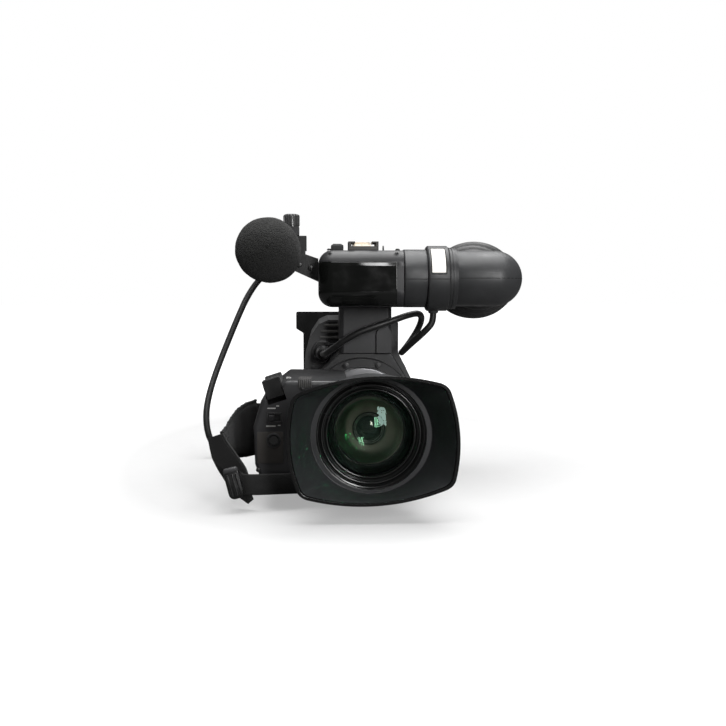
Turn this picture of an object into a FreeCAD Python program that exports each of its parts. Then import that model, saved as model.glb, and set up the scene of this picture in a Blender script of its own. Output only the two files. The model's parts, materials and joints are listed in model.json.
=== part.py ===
"""A compact shoulder camcorder with its lens, servo grip, viewfinder, microphone and battery.

Frame: millimetres, +X to the camera's left, +Y to its back, +Z up. The origin is the mouth of the
quarter inch tripod thread in the base. The lens looks along -Y.
"""
import FreeCAD, Part
import math
import os
import re
import Sketcher
from FreeCAD import Placement, Rotation, Vector

DOC = FreeCAD.newDocument("camcorder")
SHEET = DOC.addObject("Spreadsheet::Sheet", "Dims")
NODES = {}

AXIS_Z = Rotation()
AXIS_BACK = Rotation(Vector(1, 0, 0), -90)      # local Z points to +Y
AXIS_FRONT = Rotation(Vector(1, 0, 0), 90)      # local XY is the row's XZ, local Z points to -Y
AXIS_LEFT = Rotation(Vector(1, 1, 1), 120)      # local XY is the row's YZ, local Z points to +X
AXIS_RIGHT = Rotation(Vector(0, 1, 0), -90)     # local Z points to -X

DIMS = {
    # lens
    "lens_z": 58, "focus_r": 39, "zoom_r": 36, "iris_r": 32.5, "throat_r": 29, "ring_wall": 4.2,
    "ring_gap": 0.3, "barrel_front_y": -241, "focus_y": -240.5, "focus_len": 27, "zoom_y": -208.5,
    "zoom_len": 30, "scale_y": -178, "scale_len": 14, "iris_y": -163.5, "iris_len": 17,
    "tail_y": -146, "tail_r": 33, "throat_y": -118, "throat_end_y": -95, "bore_front_r": 32,
    "bore_r": 26, "seat_len": 14, "front_ring_r": 41, "front_ring_y": -252, "glass_r": 31.7,
    "glass_dome_r": 62, "glass_len": 9, "glass_apex_y": -249.5, "cell_r": 25.6,
    # zoom gear and pinion
    "gear_module": 0.9, "gear_teeth": 80, "pinion_teeth": 16, "gear_y": -190, "gear_len": 7,
    "gear_spacing": 43.2, "pinion_shaft_r": 1.5, "motor_r": 6.5, "motor_len": 26, "motor_y": -176,
    # hood
    "hood_y": -285, "hood_back_y": -250, "hood_plate": 4, "hood_w": 120, "hood_h": 90,
    "hood_back_w": 92, "hood_back_h": 89, "hood_wall": 2.2, "hood_hole_r": 40,
    "hood_sleeve_r": 43.6, "hood_sleeve_gap": 0.3, "hood_sleeve_len": 12, "hood_roll": 3.7,
    "hood_corner_r": 11, "knob_r": 4.5, "knob_len": 8,
    # servo grip
    "grip_y": -224, "grip_len": 102, "grip_cap_len": 10, "grip_top_z": 96, "grip_out_x": -86,
    "grip_low_z": 14, "grip_clear_r": 39.6, "rocker_len": 40, "rocker_w": 13.4,
    "rocker_y": -206, "rocker_tilt": 18, "rec_r": 6,
    # body shell
    "shell_front_y": -56.5, "shell_len": 204.5, "shell_wall": 3, "bottom_z": 22, "top_z": 136,
    "side_x": 50, "waist_z": 76, "upper_x": 35, "front_y": -95, "front_len": 38,
    "plate_y": 148.5, "plate_t": 7, "battery_len": 43,
    # base
    "base_w": 62, "base_front_y": -70, "base_len": 130, "tripod_r": 2.55, "tripod_depth": 10,
    "stud_r": 4, "stud_y": 24, "stud_depth": 10, "pad_w": 74, "pad_y": 92, "pad_len": 62,
    "pad_arch_r": 70, "pad_arch_drop": 58,
    # handle and viewfinder bracket
    "head_x": -38, "head_w": 70, "head_y": -152, "head_d": 50, "head_z": 148.5, "head_h": 47,
    "fascia_side": 26.3, "fascia_top": 185.6, "fascia_depth": 8, "seam": 0.2,
    "pillar_x": -20, "pillar_w": 46, "pillar_y": -98, "pillar_d": 34, "bar_z": 172, "bar_h": 21,
    "bar_end_y": 126, "rear_pillar_y": 90, "rear_pillar_d": 32,
    # viewfinder
    "vf_y": -127, "vf_z": 172.5, "tube_r": 14.8, "tube_bore_r": 15, "tube_x": -10, "collar_x": 32.6,
    "collar_len": 19.6, "collar_r": 24.3, "drum_x": 52.4, "drum_len": 18, "drum_r": 27.3,
    "pivot_len": 6.6, "pivot_r": 25.4, "elbow_x": 77.3, "elbow_r": 23.4,
    "elbow_tip_x": 134, "eye_x": 107, "eye_r": 21, "eye_end_y": -76, "diopter_len": 10,
    "diopter_r": 23.5, "cup_len": 40, "cup_r": 36, "cup_widen": 1.12,
    # microphone
    "mic_x": -77.5, "mic_z": 194, "mic_r": 10.5, "mic_y": -192, "mic_len": 152, "foam_r": 25.7,
    "foam_y": -205, "foam_len": 82, "clamp_y": -121, "clamp_len": 22, "clamp_in_r": 14,
    "clamp_r": 18.2, "clamp_hinge": 18.5, "knob_x": -60.7, "plug_r": 9.5, "plug_len": 50, "relief_len": 16,
    "finder_plug_x": -34, "finder_plug_z": 106.5, "cable_r": 3.1, "finder_cable_r": 2.8,
    # monitor
    "lcd_t": 10.5, "lcd_y": -44, "lcd_len": 92, "lcd_z": 23, "lcd_h": 48, "lcd_axis_x": 55.85,
    "lcd_axis_y": -49.5, "lcd_barrel_r": 5.2,
}


def fill_sheet():
    """One row per driving dimension, with its alias."""
    for row, (alias, value) in enumerate(DIMS.items(), start=1):
        SHEET.set(f"A{row}", alias)
        SHEET.set(f"B{row}", str(value))
        SHEET.setAlias(f"B{row}", alias)
    DOC.recompute()


def linked(text):
    """An expression over the sheet, from a plain one over the aliases."""
    return re.sub(r"[a-z]\w*", lambda word: "Dims." + word.group(0), str(text))


def size(text):
    """The value of an expression over the aliases."""
    return float(SHEET.evalExpression(linked(text)))


def bind(obj, **sizes):
    for prop, text in sizes.items():
        obj.setExpression(prop, linked(text))


def put(obj, where, turn=AXIS_Z):
    """Turns an object and binds its place to the sheet."""
    obj.Placement = Placement(Vector(*[size(c) for c in where]), turn)
    for letter, text in zip("xyz", where):
        obj.setExpression("Placement.Base." + letter, linked(text))
    return obj


def rest(obj, placement):
    """Gives an object a slanted place of its own, with nothing bound to it."""
    for letter in "xyz":
        obj.setExpression("Placement.Base." + letter, None)
    obj.Placement = placement
    return obj


def box(name, where, extent):
    obj = DOC.addObject("Part::Box", name)
    bind(obj, Length=extent[0], Width=extent[1], Height=extent[2])
    return put(obj, where)


def rod(name, where, radius, length, turn=AXIS_Z):
    obj = DOC.addObject("Part::Cylinder", name)
    bind(obj, Radius=radius, Height=length)
    return put(obj, where, turn)


def ball(name, where, radius):
    obj = DOC.addObject("Part::Sphere", name)
    bind(obj, Radius=radius)
    return put(obj, where)


def cut(name, base, *tools):
    obj = DOC.addObject("Part::Cut", name)
    obj.Base = base
    obj.Tool = tools[0] if len(tools) == 1 else join(name + "_tools", *tools)
    return obj


def join(name, *shapes):
    obj = DOC.addObject("Part::MultiFuse", name)
    obj.Shapes = list(shapes)
    return obj


def group(name, *shapes):
    """Separate solids that share one node."""
    obj = DOC.addObject("Part::Compound", name)
    obj.Links = list(shapes)
    return obj


def eased(name, base, radius, chooses):
    """Part::Fillet on the edges of base that chooses accepts."""
    DOC.recompute()
    edges = [i + 1 for i, e in enumerate(base.Shape.Edges) if chooses(e)]
    obj = DOC.addObject("Part::Fillet", name)
    obj.Base = base
    obj.Edges = [(i, size(radius), size(radius)) for i in edges]
    return obj


def along(direction):
    """Chooses straight edges that run along a direction."""
    way = Vector(*direction)

    def test(edge):
        if edge.Curve.TypeId != "Part::GeomLine":
            return False
        return abs(abs(edge.Curve.Direction.dot(way)) - 1) < 1e-6
    return test


def sketch_polygon(body, plane, points):
    """A closed sketch on one of a body's own planes. Each corner is held by two bound distances."""
    sketch = body.newObject("Sketcher::SketchObject", body.Name + "_outline")
    origin = next(f for f in body.Origin.OriginFeatures if f.Role == plane)
    sketch.AttachmentSupport = (origin, "")
    sketch.MapMode = "FlatFace"
    spots = [Vector(size(u), size(v), 0) for u, v in points]
    count = len(spots)
    for i in range(count):
        sketch.addGeometry(Part.LineSegment(spots[i], spots[(i + 1) % count]), False)
    for i in range(count):
        sketch.addConstraint(Sketcher.Constraint("Coincident", i, 2, (i + 1) % count, 1))
    for i, (pair, spot) in enumerate(zip(points, spots)):
        for kind, text, value, axis in (("DistanceX", pair[0], spot.x, -2),
                                        ("DistanceY", pair[1], spot.y, -1)):
            if abs(value) < 1e-9:
                sketch.addConstraint(Sketcher.Constraint("PointOnObject", i, 1, axis))
                continue
            at = sketch.addConstraint(Sketcher.Constraint(kind, -1, 1, i, 1, value))
            sketch.renameConstraint(at, f"{kind[-1].lower()}{i}")
            sketch.setExpression(f"Constraints.{kind[-1].lower()}{i}", linked(text))
    return sketch


def turned(name, points, where, turn=AXIS_Z):
    """A PartDesign body revolved about its local Z. Points are (radius, height)."""
    body = DOC.addObject("PartDesign::Body", name)
    sketch = sketch_polygon(body, "XZ_Plane", points)
    spin = body.newObject("PartDesign::Revolution", name + "_spin")
    spin.Profile = sketch
    spin.ReferenceAxis = (sketch, ["V_Axis"])
    spin.Angle = 360
    return put(body, where, turn)


def padded(name, points, length, where, turn=AXIS_Z, ease=None, rim=None):
    """A PartDesign body padded along its local Z, its corners eased, then its two rims."""
    body = DOC.addObject("PartDesign::Body", name)
    pad = body.newObject("PartDesign::Pad", name + "_pad")
    pad.Profile = sketch_polygon(body, "XY_Plane", points)
    bind(pad, Length=length)
    last = pad
    if ease is not None:
        DOC.recompute()
        last = part_fillet(body, last, name + "_ease", ease, along((0, 0, 1)))
    if rim is not None:
        DOC.recompute()
        span = size(length)

        def flat(edge):
            heights = [v.Z for v in edge.Vertexes]
            return max(heights) - min(heights) < 1e-6 and (
                abs(heights[0]) < 1e-6 or abs(heights[0] - span) < 1e-6)
        part_fillet(body, last, name + "_rim", rim, flat)
    return put(body, where, turn)


def part_fillet(body, base, name, radius, chooses):
    fillet = body.newObject("PartDesign::Fillet", name)
    names = [f"Edge{i + 1}" for i, e in enumerate(base.Shape.Edges) if chooses(e)]
    fillet.Base = (base, names)
    bind(fillet, Radius=radius)
    return fillet


def formed(name, shape):
    """A shape made with Part's own functions, where no feature fits."""
    obj = DOC.addObject("Part::Feature", name)
    obj.Shape = shape
    return obj


def node(name, obj):
    obj.Label = name
    NODES[name] = obj
    return obj


# ---------------------------------------------------------------- lens

def lens_spot(y):
    return ("0", y, "lens_z")


def lens_ring(name, y, length, radius):
    """A grip ring that turns on the barrel with a running gap, its outer corners chamfered."""
    bevel = 0.8
    seat = f"{radius} - ring_wall"
    return turned(name, [(seat, 0), (f"{radius} - {bevel}", 0), (radius, bevel),
                         (radius, f"{length} - {bevel}"), (f"{radius} - {bevel}", length),
                         (seat, length)], lens_spot(y), AXIS_BACK)


def make_barrel():
    """The fixed tube that carries the rings. Heights run back from its front end."""
    def back(y):
        return f"{y} - barrel_front_y"
    seats = [("focus_r", "focus_y + focus_len + 0.5"), ("zoom_r", "zoom_y + zoom_len + 0.4")]
    outline = [("bore_front_r", 0), ("focus_r - ring_wall - ring_gap", 0)]
    outline += [("focus_r - ring_wall - ring_gap", back("focus_y + focus_len + 0.5")),
                ("focus_r - 1", back("focus_y + focus_len + 0.5")),
                ("focus_r - 1", back("zoom_y - 0.5")),
                ("zoom_r - ring_wall - ring_gap", back("zoom_y - 0.5")),
                ("zoom_r - ring_wall - ring_gap", back("scale_y")),
                ("zoom_r - 1", back("scale_y")),
                ("zoom_r - 1", back("scale_y + scale_len")),
                ("iris_r - ring_wall - ring_gap", back("scale_y + scale_len")),
                ("iris_r - ring_wall - ring_gap", back("tail_y")),
                ("tail_r", back("tail_y")), ("tail_r", back("throat_y - 4")),
                ("tail_r - 3", back("throat_y")), ("throat_r", back("throat_y")),
                ("throat_r", back("throat_end_y")), ("bore_r", back("throat_end_y")),
                ("bore_r", "seat_len"), ("bore_front_r", "seat_len")]
    return node("lens_barrel", turned("lens_barrel", outline, lens_spot("barrel_front_y"), AXIS_BACK))


def make_front_ring():
    """Stepped retaining ring and filter thread in front of the glass."""
    r = "front_ring_r"
    steps = [(f"{r} - 1.2", 0), (r, 1.2), (r, 10.6), (f"{r} - 9.2", 10.6), (f"{r} - 9.2", 8),
             (f"{r} - 5", 7), (f"{r} - 5", 4), (f"{r} - 2.2", 3), (f"{r} - 2.2", 0)]
    node("front_ring", turned("front_ring", steps, lens_spot("front_ring_y"), AXIS_BACK))


def make_glass():
    """Front element: the overlap of a large ball and a short rod."""
    dome = ball("glass_dome", ("0", "glass_apex_y + glass_dome_r", "lens_z"), "glass_dome_r")
    blank = rod("glass_blank", lens_spot("glass_apex_y - 1"), "glass_r - 0.9", "glass_len + 10.5",
                AXIS_BACK)
    front = DOC.addObject("Part::MultiCommon", "front_element")
    front.Shapes = [dome, blank]
    node("front_element", front)


def make_inner_cells():
    """Zoom cell with its element, iris disc and rear cell, each a separate solid in the barrel."""
    r = "cell_r"
    zoom = turned("zoom_cell", [(f"{r} - 8", 0), (r, 0), (r, 26), (f"{r} - 5", 26), (f"{r} - 8", 4)],
                  lens_spot("barrel_front_y + 24"), AXIS_BACK)
    second = turned("second_element", [(0, -1), (f"{r} - 8.2", 1.5), (f"{r} - 8.2", 4), (0, 7)],
                    lens_spot("barrel_front_y + 24"), AXIS_BACK)
    iris = turned("iris_disc", [(8, 0), (r, 0), (r, 1.5), (8, 1.5)],
                  lens_spot("barrel_front_y + 62"), AXIS_BACK)
    rear = turned("rear_cell", [(f"{r} - 12", 0), (r, 0), (r, 30), (f"{r} - 10", 30)],
                  lens_spot("barrel_front_y + 90"), AXIS_BACK)
    node("inner_lens_cells", group("inner_lens_cells", zoom, second, iris, rear))


def gear_outline(teeth, module, centre_phase):
    """Points of a spur gear with straight flanks and backlash, its first tooth at centre_phase."""
    pitch_r = module * teeth / 2
    step = 2 * math.pi / teeth
    tip, root = pitch_r + 0.75 * module, pitch_r - 0.95 * module
    corners = ((root, -0.34), (tip, -0.13), (tip, 0.13), (root, 0.34))
    points = []
    for tooth in range(teeth):
        for radius, share in corners:
            angle = centre_phase + (tooth + share) * step
            points.append(Vector(radius * math.cos(angle), radius * math.sin(angle), 0))
    return points


def gear_prism(teeth, phase, bore, length):
    points = gear_outline(teeth, size("gear_module"), phase)
    face = Part.Face(Part.makePolygon(points + points[:1]))
    solid = face.extrude(Vector(0, 0, length))
    return solid.cut(Part.makeCylinder(bore, length))


def make_zoom_train():
    """Zoom ring with its gear band, the pinion that drives it, and the motor behind the pinion."""
    place = Placement(Vector(0, size("gear_y"), size("lens_z")), AXIS_FRONT)
    length = size("gear_len")
    ring_bore = size("zoom_r - ring_wall")
    towards_pinion = math.pi
    band = gear_prism(int(size("gear_teeth")), towards_pinion, ring_bore, length)
    band.Placement = place
    gear = formed("zoom_gear_band", band)
    front = lens_ring("zoom_grip", "zoom_y", "gear_y - gear_len - zoom_y", "zoom_r")
    back = lens_ring("zoom_back", "gear_y", "zoom_y + zoom_len - gear_y", "zoom_r")
    stem = rod("zoom_lever_stem", ("zoom_r - 2", "zoom_y + 6", "lens_z"), 2, 13,
               Rotation(Vector(0, 1, 0), 90))
    node("zoom_ring", join("zoom_ring", front, gear, back, stem))

    teeth = int(size("pinion_teeth"))
    half_step = math.pi / teeth
    pinion = gear_prism(teeth, half_step, 0.01, length - 1)
    pinion.Placement = Placement(Vector(-size("gear_spacing"), size("gear_y") - 0.5, size("lens_z")),
                                 AXIS_FRONT)
    wheel = formed("pinion_wheel", pinion)
    shaft = rod("pinion_shaft", ("-gear_spacing", "gear_y - gear_len - 3", "lens_z"),
                "pinion_shaft_r", "motor_y - gear_y + gear_len + 2.5", AXIS_BACK)
    node("zoom_pinion", join("zoom_pinion", wheel, shaft))
    node("zoom_motor", rod("zoom_motor", ("-gear_spacing - 2", "motor_y", "lens_z"), "motor_r",
                           "motor_len", AXIS_BACK))


def hood_outline(width, height, y, bulge):
    """Four shallow arcs that meet in corners, in the plane of that y, about the lens. Bulge is how
    far the long and the short sides stand out, as shares of the height and the width."""
    tall, wide = height / 2, width / 2
    corner_z, corner_x = tall - bulge[0] * height, wide - bulge[1] * width
    corners = [Vector(sx * corner_x, y, sz * corner_z) for sx, sz in ((1, 1), (-1, 1), (-1, -1), (1, -1))]
    middles = [Vector(0, y, tall), Vector(-wide, y, 0), Vector(0, y, -tall), Vector(wide, y, 0)]
    arcs = [Part.Arc(corners[i], middles[i], corners[(i + 1) % 4]).toShape() for i in range(4)]
    return Part.Wire(arcs)


def hood_funnel(trim, back, front, radius):
    """Solid between the small back outline and the flared front one, its four long edges rounded."""
    shell = Part.makeLoft([hood_outline(size("hood_back_w") - trim, size("hood_back_h") - trim, back,
                                        (0.16, 0.13)),
                           hood_outline(size("hood_w") - trim, size("hood_h") - trim, front,
                                        (0.105, 0.051))], True, True)
    long_edges = [e for e in shell.Edges if abs(e.Vertexes[0].Y - e.Vertexes[-1].Y) > 1]
    return shell.makeFillet(radius, long_edges)


def make_hood():
    """Flared rectangular hood: an outer loft less an inner one, a back plate with a round hole and
    the sleeve that fits over the front ring."""
    front, back, wall = size("hood_y"), size("hood_back_y"), size("hood_wall")
    plate = size("hood_plate")
    corner = size("hood_corner_r")
    outer = hood_funnel(0, back, front, corner)
    inner = hood_funnel(2 * wall, back - plate, front - 0.01, corner - wall)
    way = Vector(0, 1, 0)
    hole = Part.makeCylinder(size("hood_hole_r"), plate + 2, Vector(0, back - plate - 1, 0), way)
    sleeve_bore = size("front_ring_r + hood_sleeve_gap")
    sleeve = Part.makeCylinder(size("hood_sleeve_r"), size("hood_sleeve_len"), Vector(0, back, 0), way)
    sleeve = sleeve.cut(Part.makeCylinder(sleeve_bore, size("hood_sleeve_len") + 2,
                                          Vector(0, back - 1, 0), way))
    screw_hole = Part.makeCylinder(1.8, 60, Vector(0, back + size("hood_sleeve_len") / 2, 0),
                                   knob_way())
    pocket = Part.makeCylinder(sleeve_bore, plate + 2.8, Vector(0, front_ring_clear_y(), 0), way)
    hood = outer.cut(inner).cut(hole).cut(pocket).fuse(sleeve).removeSplitter()
    hood.rotate(Vector(0, 0, 0), way, -size("hood_roll"))
    hood = hood.cut(screw_hole)
    hood.translate(Vector(0, 0, size("lens_z")))
    node("lens_hood", formed("lens_hood", hood))


def front_ring_clear_y():
    return size("front_ring_y") - 0.3


def knob_way():
    """Radial way of the hood's clamp knob, down to the camera's left."""
    return Vector(math.sqrt(0.5), 0, -math.sqrt(0.5))


def make_hood_knob():
    stem_gap = 0.3
    base = size("hood_sleeve_r") + stem_gap
    foot = Vector(0, size("hood_back_y + hood_sleeve_len / 2"), size("lens_z"))
    start = size("front_ring_r + hood_sleeve_gap") + 0.1
    knob = Part.makeCylinder(size("knob_r"), size("knob_len"), foot + knob_way() * base, knob_way())
    stem = Part.makeCylinder(1.5, base - start + 0.5, foot + knob_way() * start, knob_way())
    node("hood_knob", formed("hood_knob", knob.fuse(stem).removeSplitter()))


# ---------------------------------------------------------------- servo grip and strap

def make_grip():
    """Housing beside the barrel, hollow for the motor, its front cap, switches and buttons."""
    outline = [(-12, "grip_top_z - 1"), (-62, "grip_top_z"), (-80, 82), ("grip_out_x", 62),
               ("grip_out_x + 1", 34), (-79, "grip_low_z + 3"), (-58, "grip_low_z"), (-36, 22)]
    back = "grip_y + grip_len"
    ring_space = rod("ring_space", lens_spot("-250"), "grip_clear_r", 150, AXIS_BACK)
    block = padded("grip_block", outline, "grip_len", ("0", back, "0"), AXIS_FRONT, ease=5)
    saddle = padded("grip_saddle", [(-50, 30), (-20, 22), (-14, 92), (-50, 84)], "scale_len - 1",
                    ("0", "scale_y + scale_len - 0.5", "0"), AXIS_FRONT)
    saddle_bore = rod("saddle_bore", lens_spot("-200"), "zoom_r - 0.95", 60, AXIS_BACK)
    solid = join("grip_solid", cut("grip_beside_rings", block, ring_space),
                 cut("saddle_cut", saddle, saddle_bore))
    room = box("grip_room", ("-gear_spacing - 14", "gear_y - gear_len - 4", "lens_z - 9"),
               (22, "motor_y + motor_len - gear_y + gear_len + 8", 18))
    bay = rest(box("rocker_bay", (0, 0, 0), ("rocker_w + 0.8", "rocker_len + 13.6", 14)), rocker_bay())
    record_bore = rod("record_bore", (-66, f"{back} - 6", 70), "rec_r + 0.25", 10, AXIS_BACK)
    node("grip_housing", cut("grip_housing", solid, room, bay, record_bore))
    node("record_button", rod("record_button", (-66, f"{back} - 3.5", 70), "rec_r", 6, AXIS_BACK))

    front = "grip_y - grip_cap_len"
    cap = padded("grip_cap_block", outline, "grip_cap_len", ("0", "grip_y", "0"), AXIS_FRONT, ease=5)
    eased_cap = eased("grip_cap_eased", cap, 3, front_rim(front))
    cap_bay = rest(box("cap_bay", (0, 0, 0), ("rocker_w + 0.8", 22, 14)), rocker_bay())
    space = rod("cap_ring_space", lens_spot("-250"), "front_ring_r + 3.2", 40, AXIS_BACK)
    button_bore = rod("button_bore", (-71, f"{front} - 1", 52), 3.6, 5, AXIS_BACK)
    slot = box("servo_slot", (-75, f"{front} - 1", 66), (9, 4, 5))
    node("grip_cap", cut("grip_cap", eased_cap, cap_bay, space, button_bore, slot))
    node("servo_switch", box("servo_switch", (-74.7, f"{front} - 1.5", 66.3), (4, 4.3, 4.4)))
    node("return_button", rod("return_button", (-71, f"{front} - 1.6", 52), 3.3, 4, AXIS_BACK))


def front_rim(y):
    """Chooses the edges that lie in the plane of that y."""
    def test(edge):
        return all(abs(v.Y - size(y)) < 1e-4 for v in edge.Vertexes)
    return test


def rocker_place():
    """Frame of the zoom rocker: its local Z stands out of the chamfered shoulder of the grip."""
    centre = Vector(-70.6, size("rocker_y"), 87.5)
    return Placement(centre, Rotation(Vector(0, 1, 0), -size("rocker_tilt")))


def rocker_bay():
    """Corner of the open bay round the rocker, in the rocker's frame."""
    corner = Vector(-size("rocker_w") / 2 - 0.4, -31.6, -8)
    return rocker_place().multiply(Placement(corner, Rotation()))


def make_rocker():
    """Seesaw with a raised lip at each end and a dished top."""
    w, length = size("rocker_w"), size("rocker_len")
    profile = [(-length / 2, 0.5), (-length / 2, 10), (-length / 2 + 5, 10), (-6, 6), (6, 6),
               (length / 2 - 5, 10), (length / 2, 10), (length / 2, 0.5), (3, -3), (-3, -3)]
    points = [Vector(-w / 2, y, z) for y, z in profile]
    rocker = Part.Face(Part.makePolygon(points + points[:1])).extrude(Vector(w, 0, 0))
    tops = [e for e in rocker.Edges if all(v.Z > 5.9 for v in e.Vertexes)]
    rocker = rocker.makeFillet(1.2, tops)
    rocker.Placement = rocker_place()
    node("zoom_rocker", formed("zoom_rocker", rocker))


def band(stations, width_way, thickness):
    """A flat strap through stations of (x, y, z, width), its width along width_way."""
    spots = [Vector(*station[:3]) for station in stations]
    sections = []
    for i, (spot, station) in enumerate(zip(spots, stations)):
        way = spots[min(i + 1, len(spots) - 1)] - spots[max(i - 1, 0)]
        out = way.cross(Vector(*width_way)).normalize() * (thickness / 2)
        side = out.cross(way).normalize() * (station[3] / 2)
        corners = [spot + side + out, spot - side + out, spot - side - out, spot + side - out]
        sections.append(Part.makePolygon(corners + corners[:1]))
    return Part.makeLoft(sections, True, False)


def make_strap():
    """Hand strap: a padded back over the hand, the flap over its front end, the buckle on the flap,
    and the web that goes from there across the front of the grip."""
    pad = [(-89.5, -131, 48, 50), (-97, -147, 48, 48), (-103, -165, 47.5, 43),
           (-107.3, -184, 46.5, 36), (-109.3, -203, 45.5, 30), (-110.5, -216, 44.5, 26)]
    node("strap_pad", formed("strap_pad", band(pad, (0, 0, 1), 5)))
    flap = [(-114.2, -228.5, 54.8, 19), (-110.9, -229.5, 44.6, 24), (-105.1, -231, 34.8, 26),
            (-98.9, -232.5, 25.9, 26), (-94.6, -234, 14.6, 22), (-88, -235.5, 6.6, 8)]
    web = [(-91.5, -243.4, 20.8, 16), (-84, -242.6, 20.6, 16), (-74, -240.5, 20.4, 16),
           (-63, -237.5, 20.2, 16), (-52, -235.3, 20, 16)]
    buckle = Part.makeBox(11, 6, 23, Vector(-5.5, -3, -11.5))
    buckle = buckle.makeFillet(1.5, buckle.Edges)
    buckle.Placement = Placement(Vector(-99.6, -245.5, 22.5), Rotation(Vector(0, 1, 0), -14))
    node("strap_web", group("strap_web", formed("strap_flap", band(flap, (0.7, -0.6, 0.37), 2.4)),
                            formed("strap_band", band(web, (0, 0, 1), 2.2)),
                            formed("strap_buckle", buckle)))


# ---------------------------------------------------------------- body

SHELL_LEFT = [(0.2, "bottom_z"), ("side_x", "bottom_z"), ("side_x", "waist_z"),
              ("upper_x", 106), ("upper_x", "top_z"), (0.2, "top_z")]
SHELL_RIGHT = [(-0.2, "bottom_z"), (-0.2, "top_z"), (-29, "top_z"), (-38, "top_z - 4"), (-46, 120),
               (-50, 106), ("-side_x - 2", 84), ("-side_x - 2", "bottom_z")]


def inset(outline):
    """The same outline moved in by the wall on every side but the one on the middle plane."""
    moved = []
    for u, v in outline:
        x, z = size(u), size(v)
        if abs(x) < 1:
            new_x = x - math.copysign(1, x)
        else:
            new_x = f"{u} - {math.copysign(1, x)} * shell_wall"
        if z <= size("bottom_z") + 1:
            new_z = f"{v} + shell_wall"
        elif z >= size("waist_z") + 25:
            new_z = f"{v} - shell_wall"
        else:
            new_z = v
        moved.append((new_x, new_z))
    return moved


def make_covers():
    """Left and right body shells, open at the mid plane and the back."""
    back = "shell_front_y + shell_len"
    for name, outline, side in (("left_cover", SHELL_LEFT, 1), ("right_cover", SHELL_RIGHT, -1)):
        outer = padded(name + "_outer", outline, "shell_len", ("0", back, "0"), AXIS_FRONT)
        soft = eased(name + "_soft", outer, 4, long_corner(side))
        inner = padded(name + "_inner", inset(outline), "shell_len - shell_wall",
                       ("0", back, "0"), AXIS_FRONT)
        light_way = rod(name + "_light_way", lens_spot("-70"), 24, 30, AXIS_BACK)
        if side > 0:
            node(name, join(name, cut("left_shell", soft, inner, light_way, *left_openings()),
                            *monitor_knuckles()))
        else:
            node(name, cut(name, soft, inner, light_way, *front_grooves()))


def left_openings():
    """Card bay and the holes for the switch and knob stems in the left cover."""
    stems = [rod(f"level_hole_{i}", ("side_x - 6", 62 + 15 * i, 62), 2.2, 8, AXIS_LEFT)
             for i in range(2)]
    return [box("card_window", ("side_x - 6", 93, 31), (8, 42, 30)),
            rod("power_hole", ("side_x - 6", 82, 36), 3.2, 8, AXIS_LEFT), *stems]


def monitor_knuckles():
    """The two fixed knuckles that hold the monitor's barrel."""
    knuckles = []
    for i, z in enumerate(("lcd_z + 1", "lcd_z + lcd_h - 6.5")):
        barrel = rod(f"knuckle_barrel_{i}", ("lcd_axis_x", "lcd_axis_y", z), "lcd_barrel_r", 5.5)
        root = box(f"knuckle_root_{i}", ("side_x", "lcd_axis_y - lcd_barrel_r", z),
                   ("lcd_axis_x - side_x", "2 * lcd_barrel_r", 5.5))
        knuckles += [barrel, root]
    return knuckles


def front_grooves():
    """Recess of the viewfinder socket, and vent grooves above it, in the right cover's front."""
    y = "shell_front_y - 1"
    recess = box("socket_recess", (-40.5, y, 100), (13, 2.2, 13))
    grooves = [box(f"vent_groove_{i}", (x, y, z), (width, 2.2, height)) for i, (x, z, width, height)
               in enumerate(((-32, 132.4, 11, 1.6), (-32, 126.6, 11, 2), (-31.5, 121.4, 11, 1.6),
                             (-26.5, 117, 2.2, 4.4)))]
    return [recess, *grooves]


def long_corner(side):
    """Chooses the long edges of a shell that are away from its open middle."""
    straight = along((0, 1, 0))

    def test(edge):
        return straight(edge) and edge.Vertexes[0].X * side > 1
    return test


def make_front_housing():
    """Cast front frame that carries the lens, with the ring plate on it."""
    outline = [(-46, 24), (46, 24), (48, 72), (26, 108), (-20, 108), (-43, 86), (-48, 72)]
    block = padded("front_block", outline, "front_len", ("0", "front_y + front_len", "0"),
                   AXIS_FRONT, ease=4)
    soft = eased("front_soft", block, 1.5, front_rim("front_y"))
    room = rod("front_room", lens_spot("front_y + 6"), 33, "front_len", AXIS_BACK)
    light_way = rod("front_light_way", lens_spot("front_y - 1"), 24, 20, AXIS_BACK)
    dial_hole = rod("filter_hole", (38, -76, 58), 3.2, 14, AXIS_LEFT)
    toggle_hole = box("toggle_hole", (42, -78.5, 33.5), (10, 5, 5))
    node("front_housing", cut("front_housing", soft, room, light_way, dial_hole, toggle_hole))

    ring = turned("ring_plate_disc", [(30.6, 0), (46, 0), (46, 2), (44.8, 2.8), (30.6, 2.8)],
                  lens_spot("front_y"), AXIS_FRONT)
    trim = box("ring_plate_trim", (-60, -110, 0), (120, 30, 28))
    holes = [rod(f"plate_hole_{i}", plate_screw(i), 1.7, 8, AXIS_BACK) for i in range(8)]
    node("ring_plate", cut("ring_plate", ring, trim, *holes))


def plate_screw(i):
    """Place of a screw of the ring plate, from 20 degrees off the top, four on each side."""
    angle = math.radians((20, 52, 84, 116)[i // 2]) * (1 if i % 2 else -1)
    r = 41.5
    return (r * math.sin(angle), -99.5, size("lens_z") + r * math.cos(angle))


def make_fasteners():
    """Screw heads of the ring plate and the tail covers, all in one node."""
    screws = []
    for i in range(8):
        x, y, z = plate_screw(i)
        screws.append(turned(f"plate_screw_{i}", [(0, 0), (1.4, 0), (1.4, 3.4), (2.6, 3.4),
                                                  (2.6, 4.6), (0, 4.9)],
                             (x, "front_y", z), AXIS_FRONT))
    node("fasteners", group("fasteners", *screws))


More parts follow.
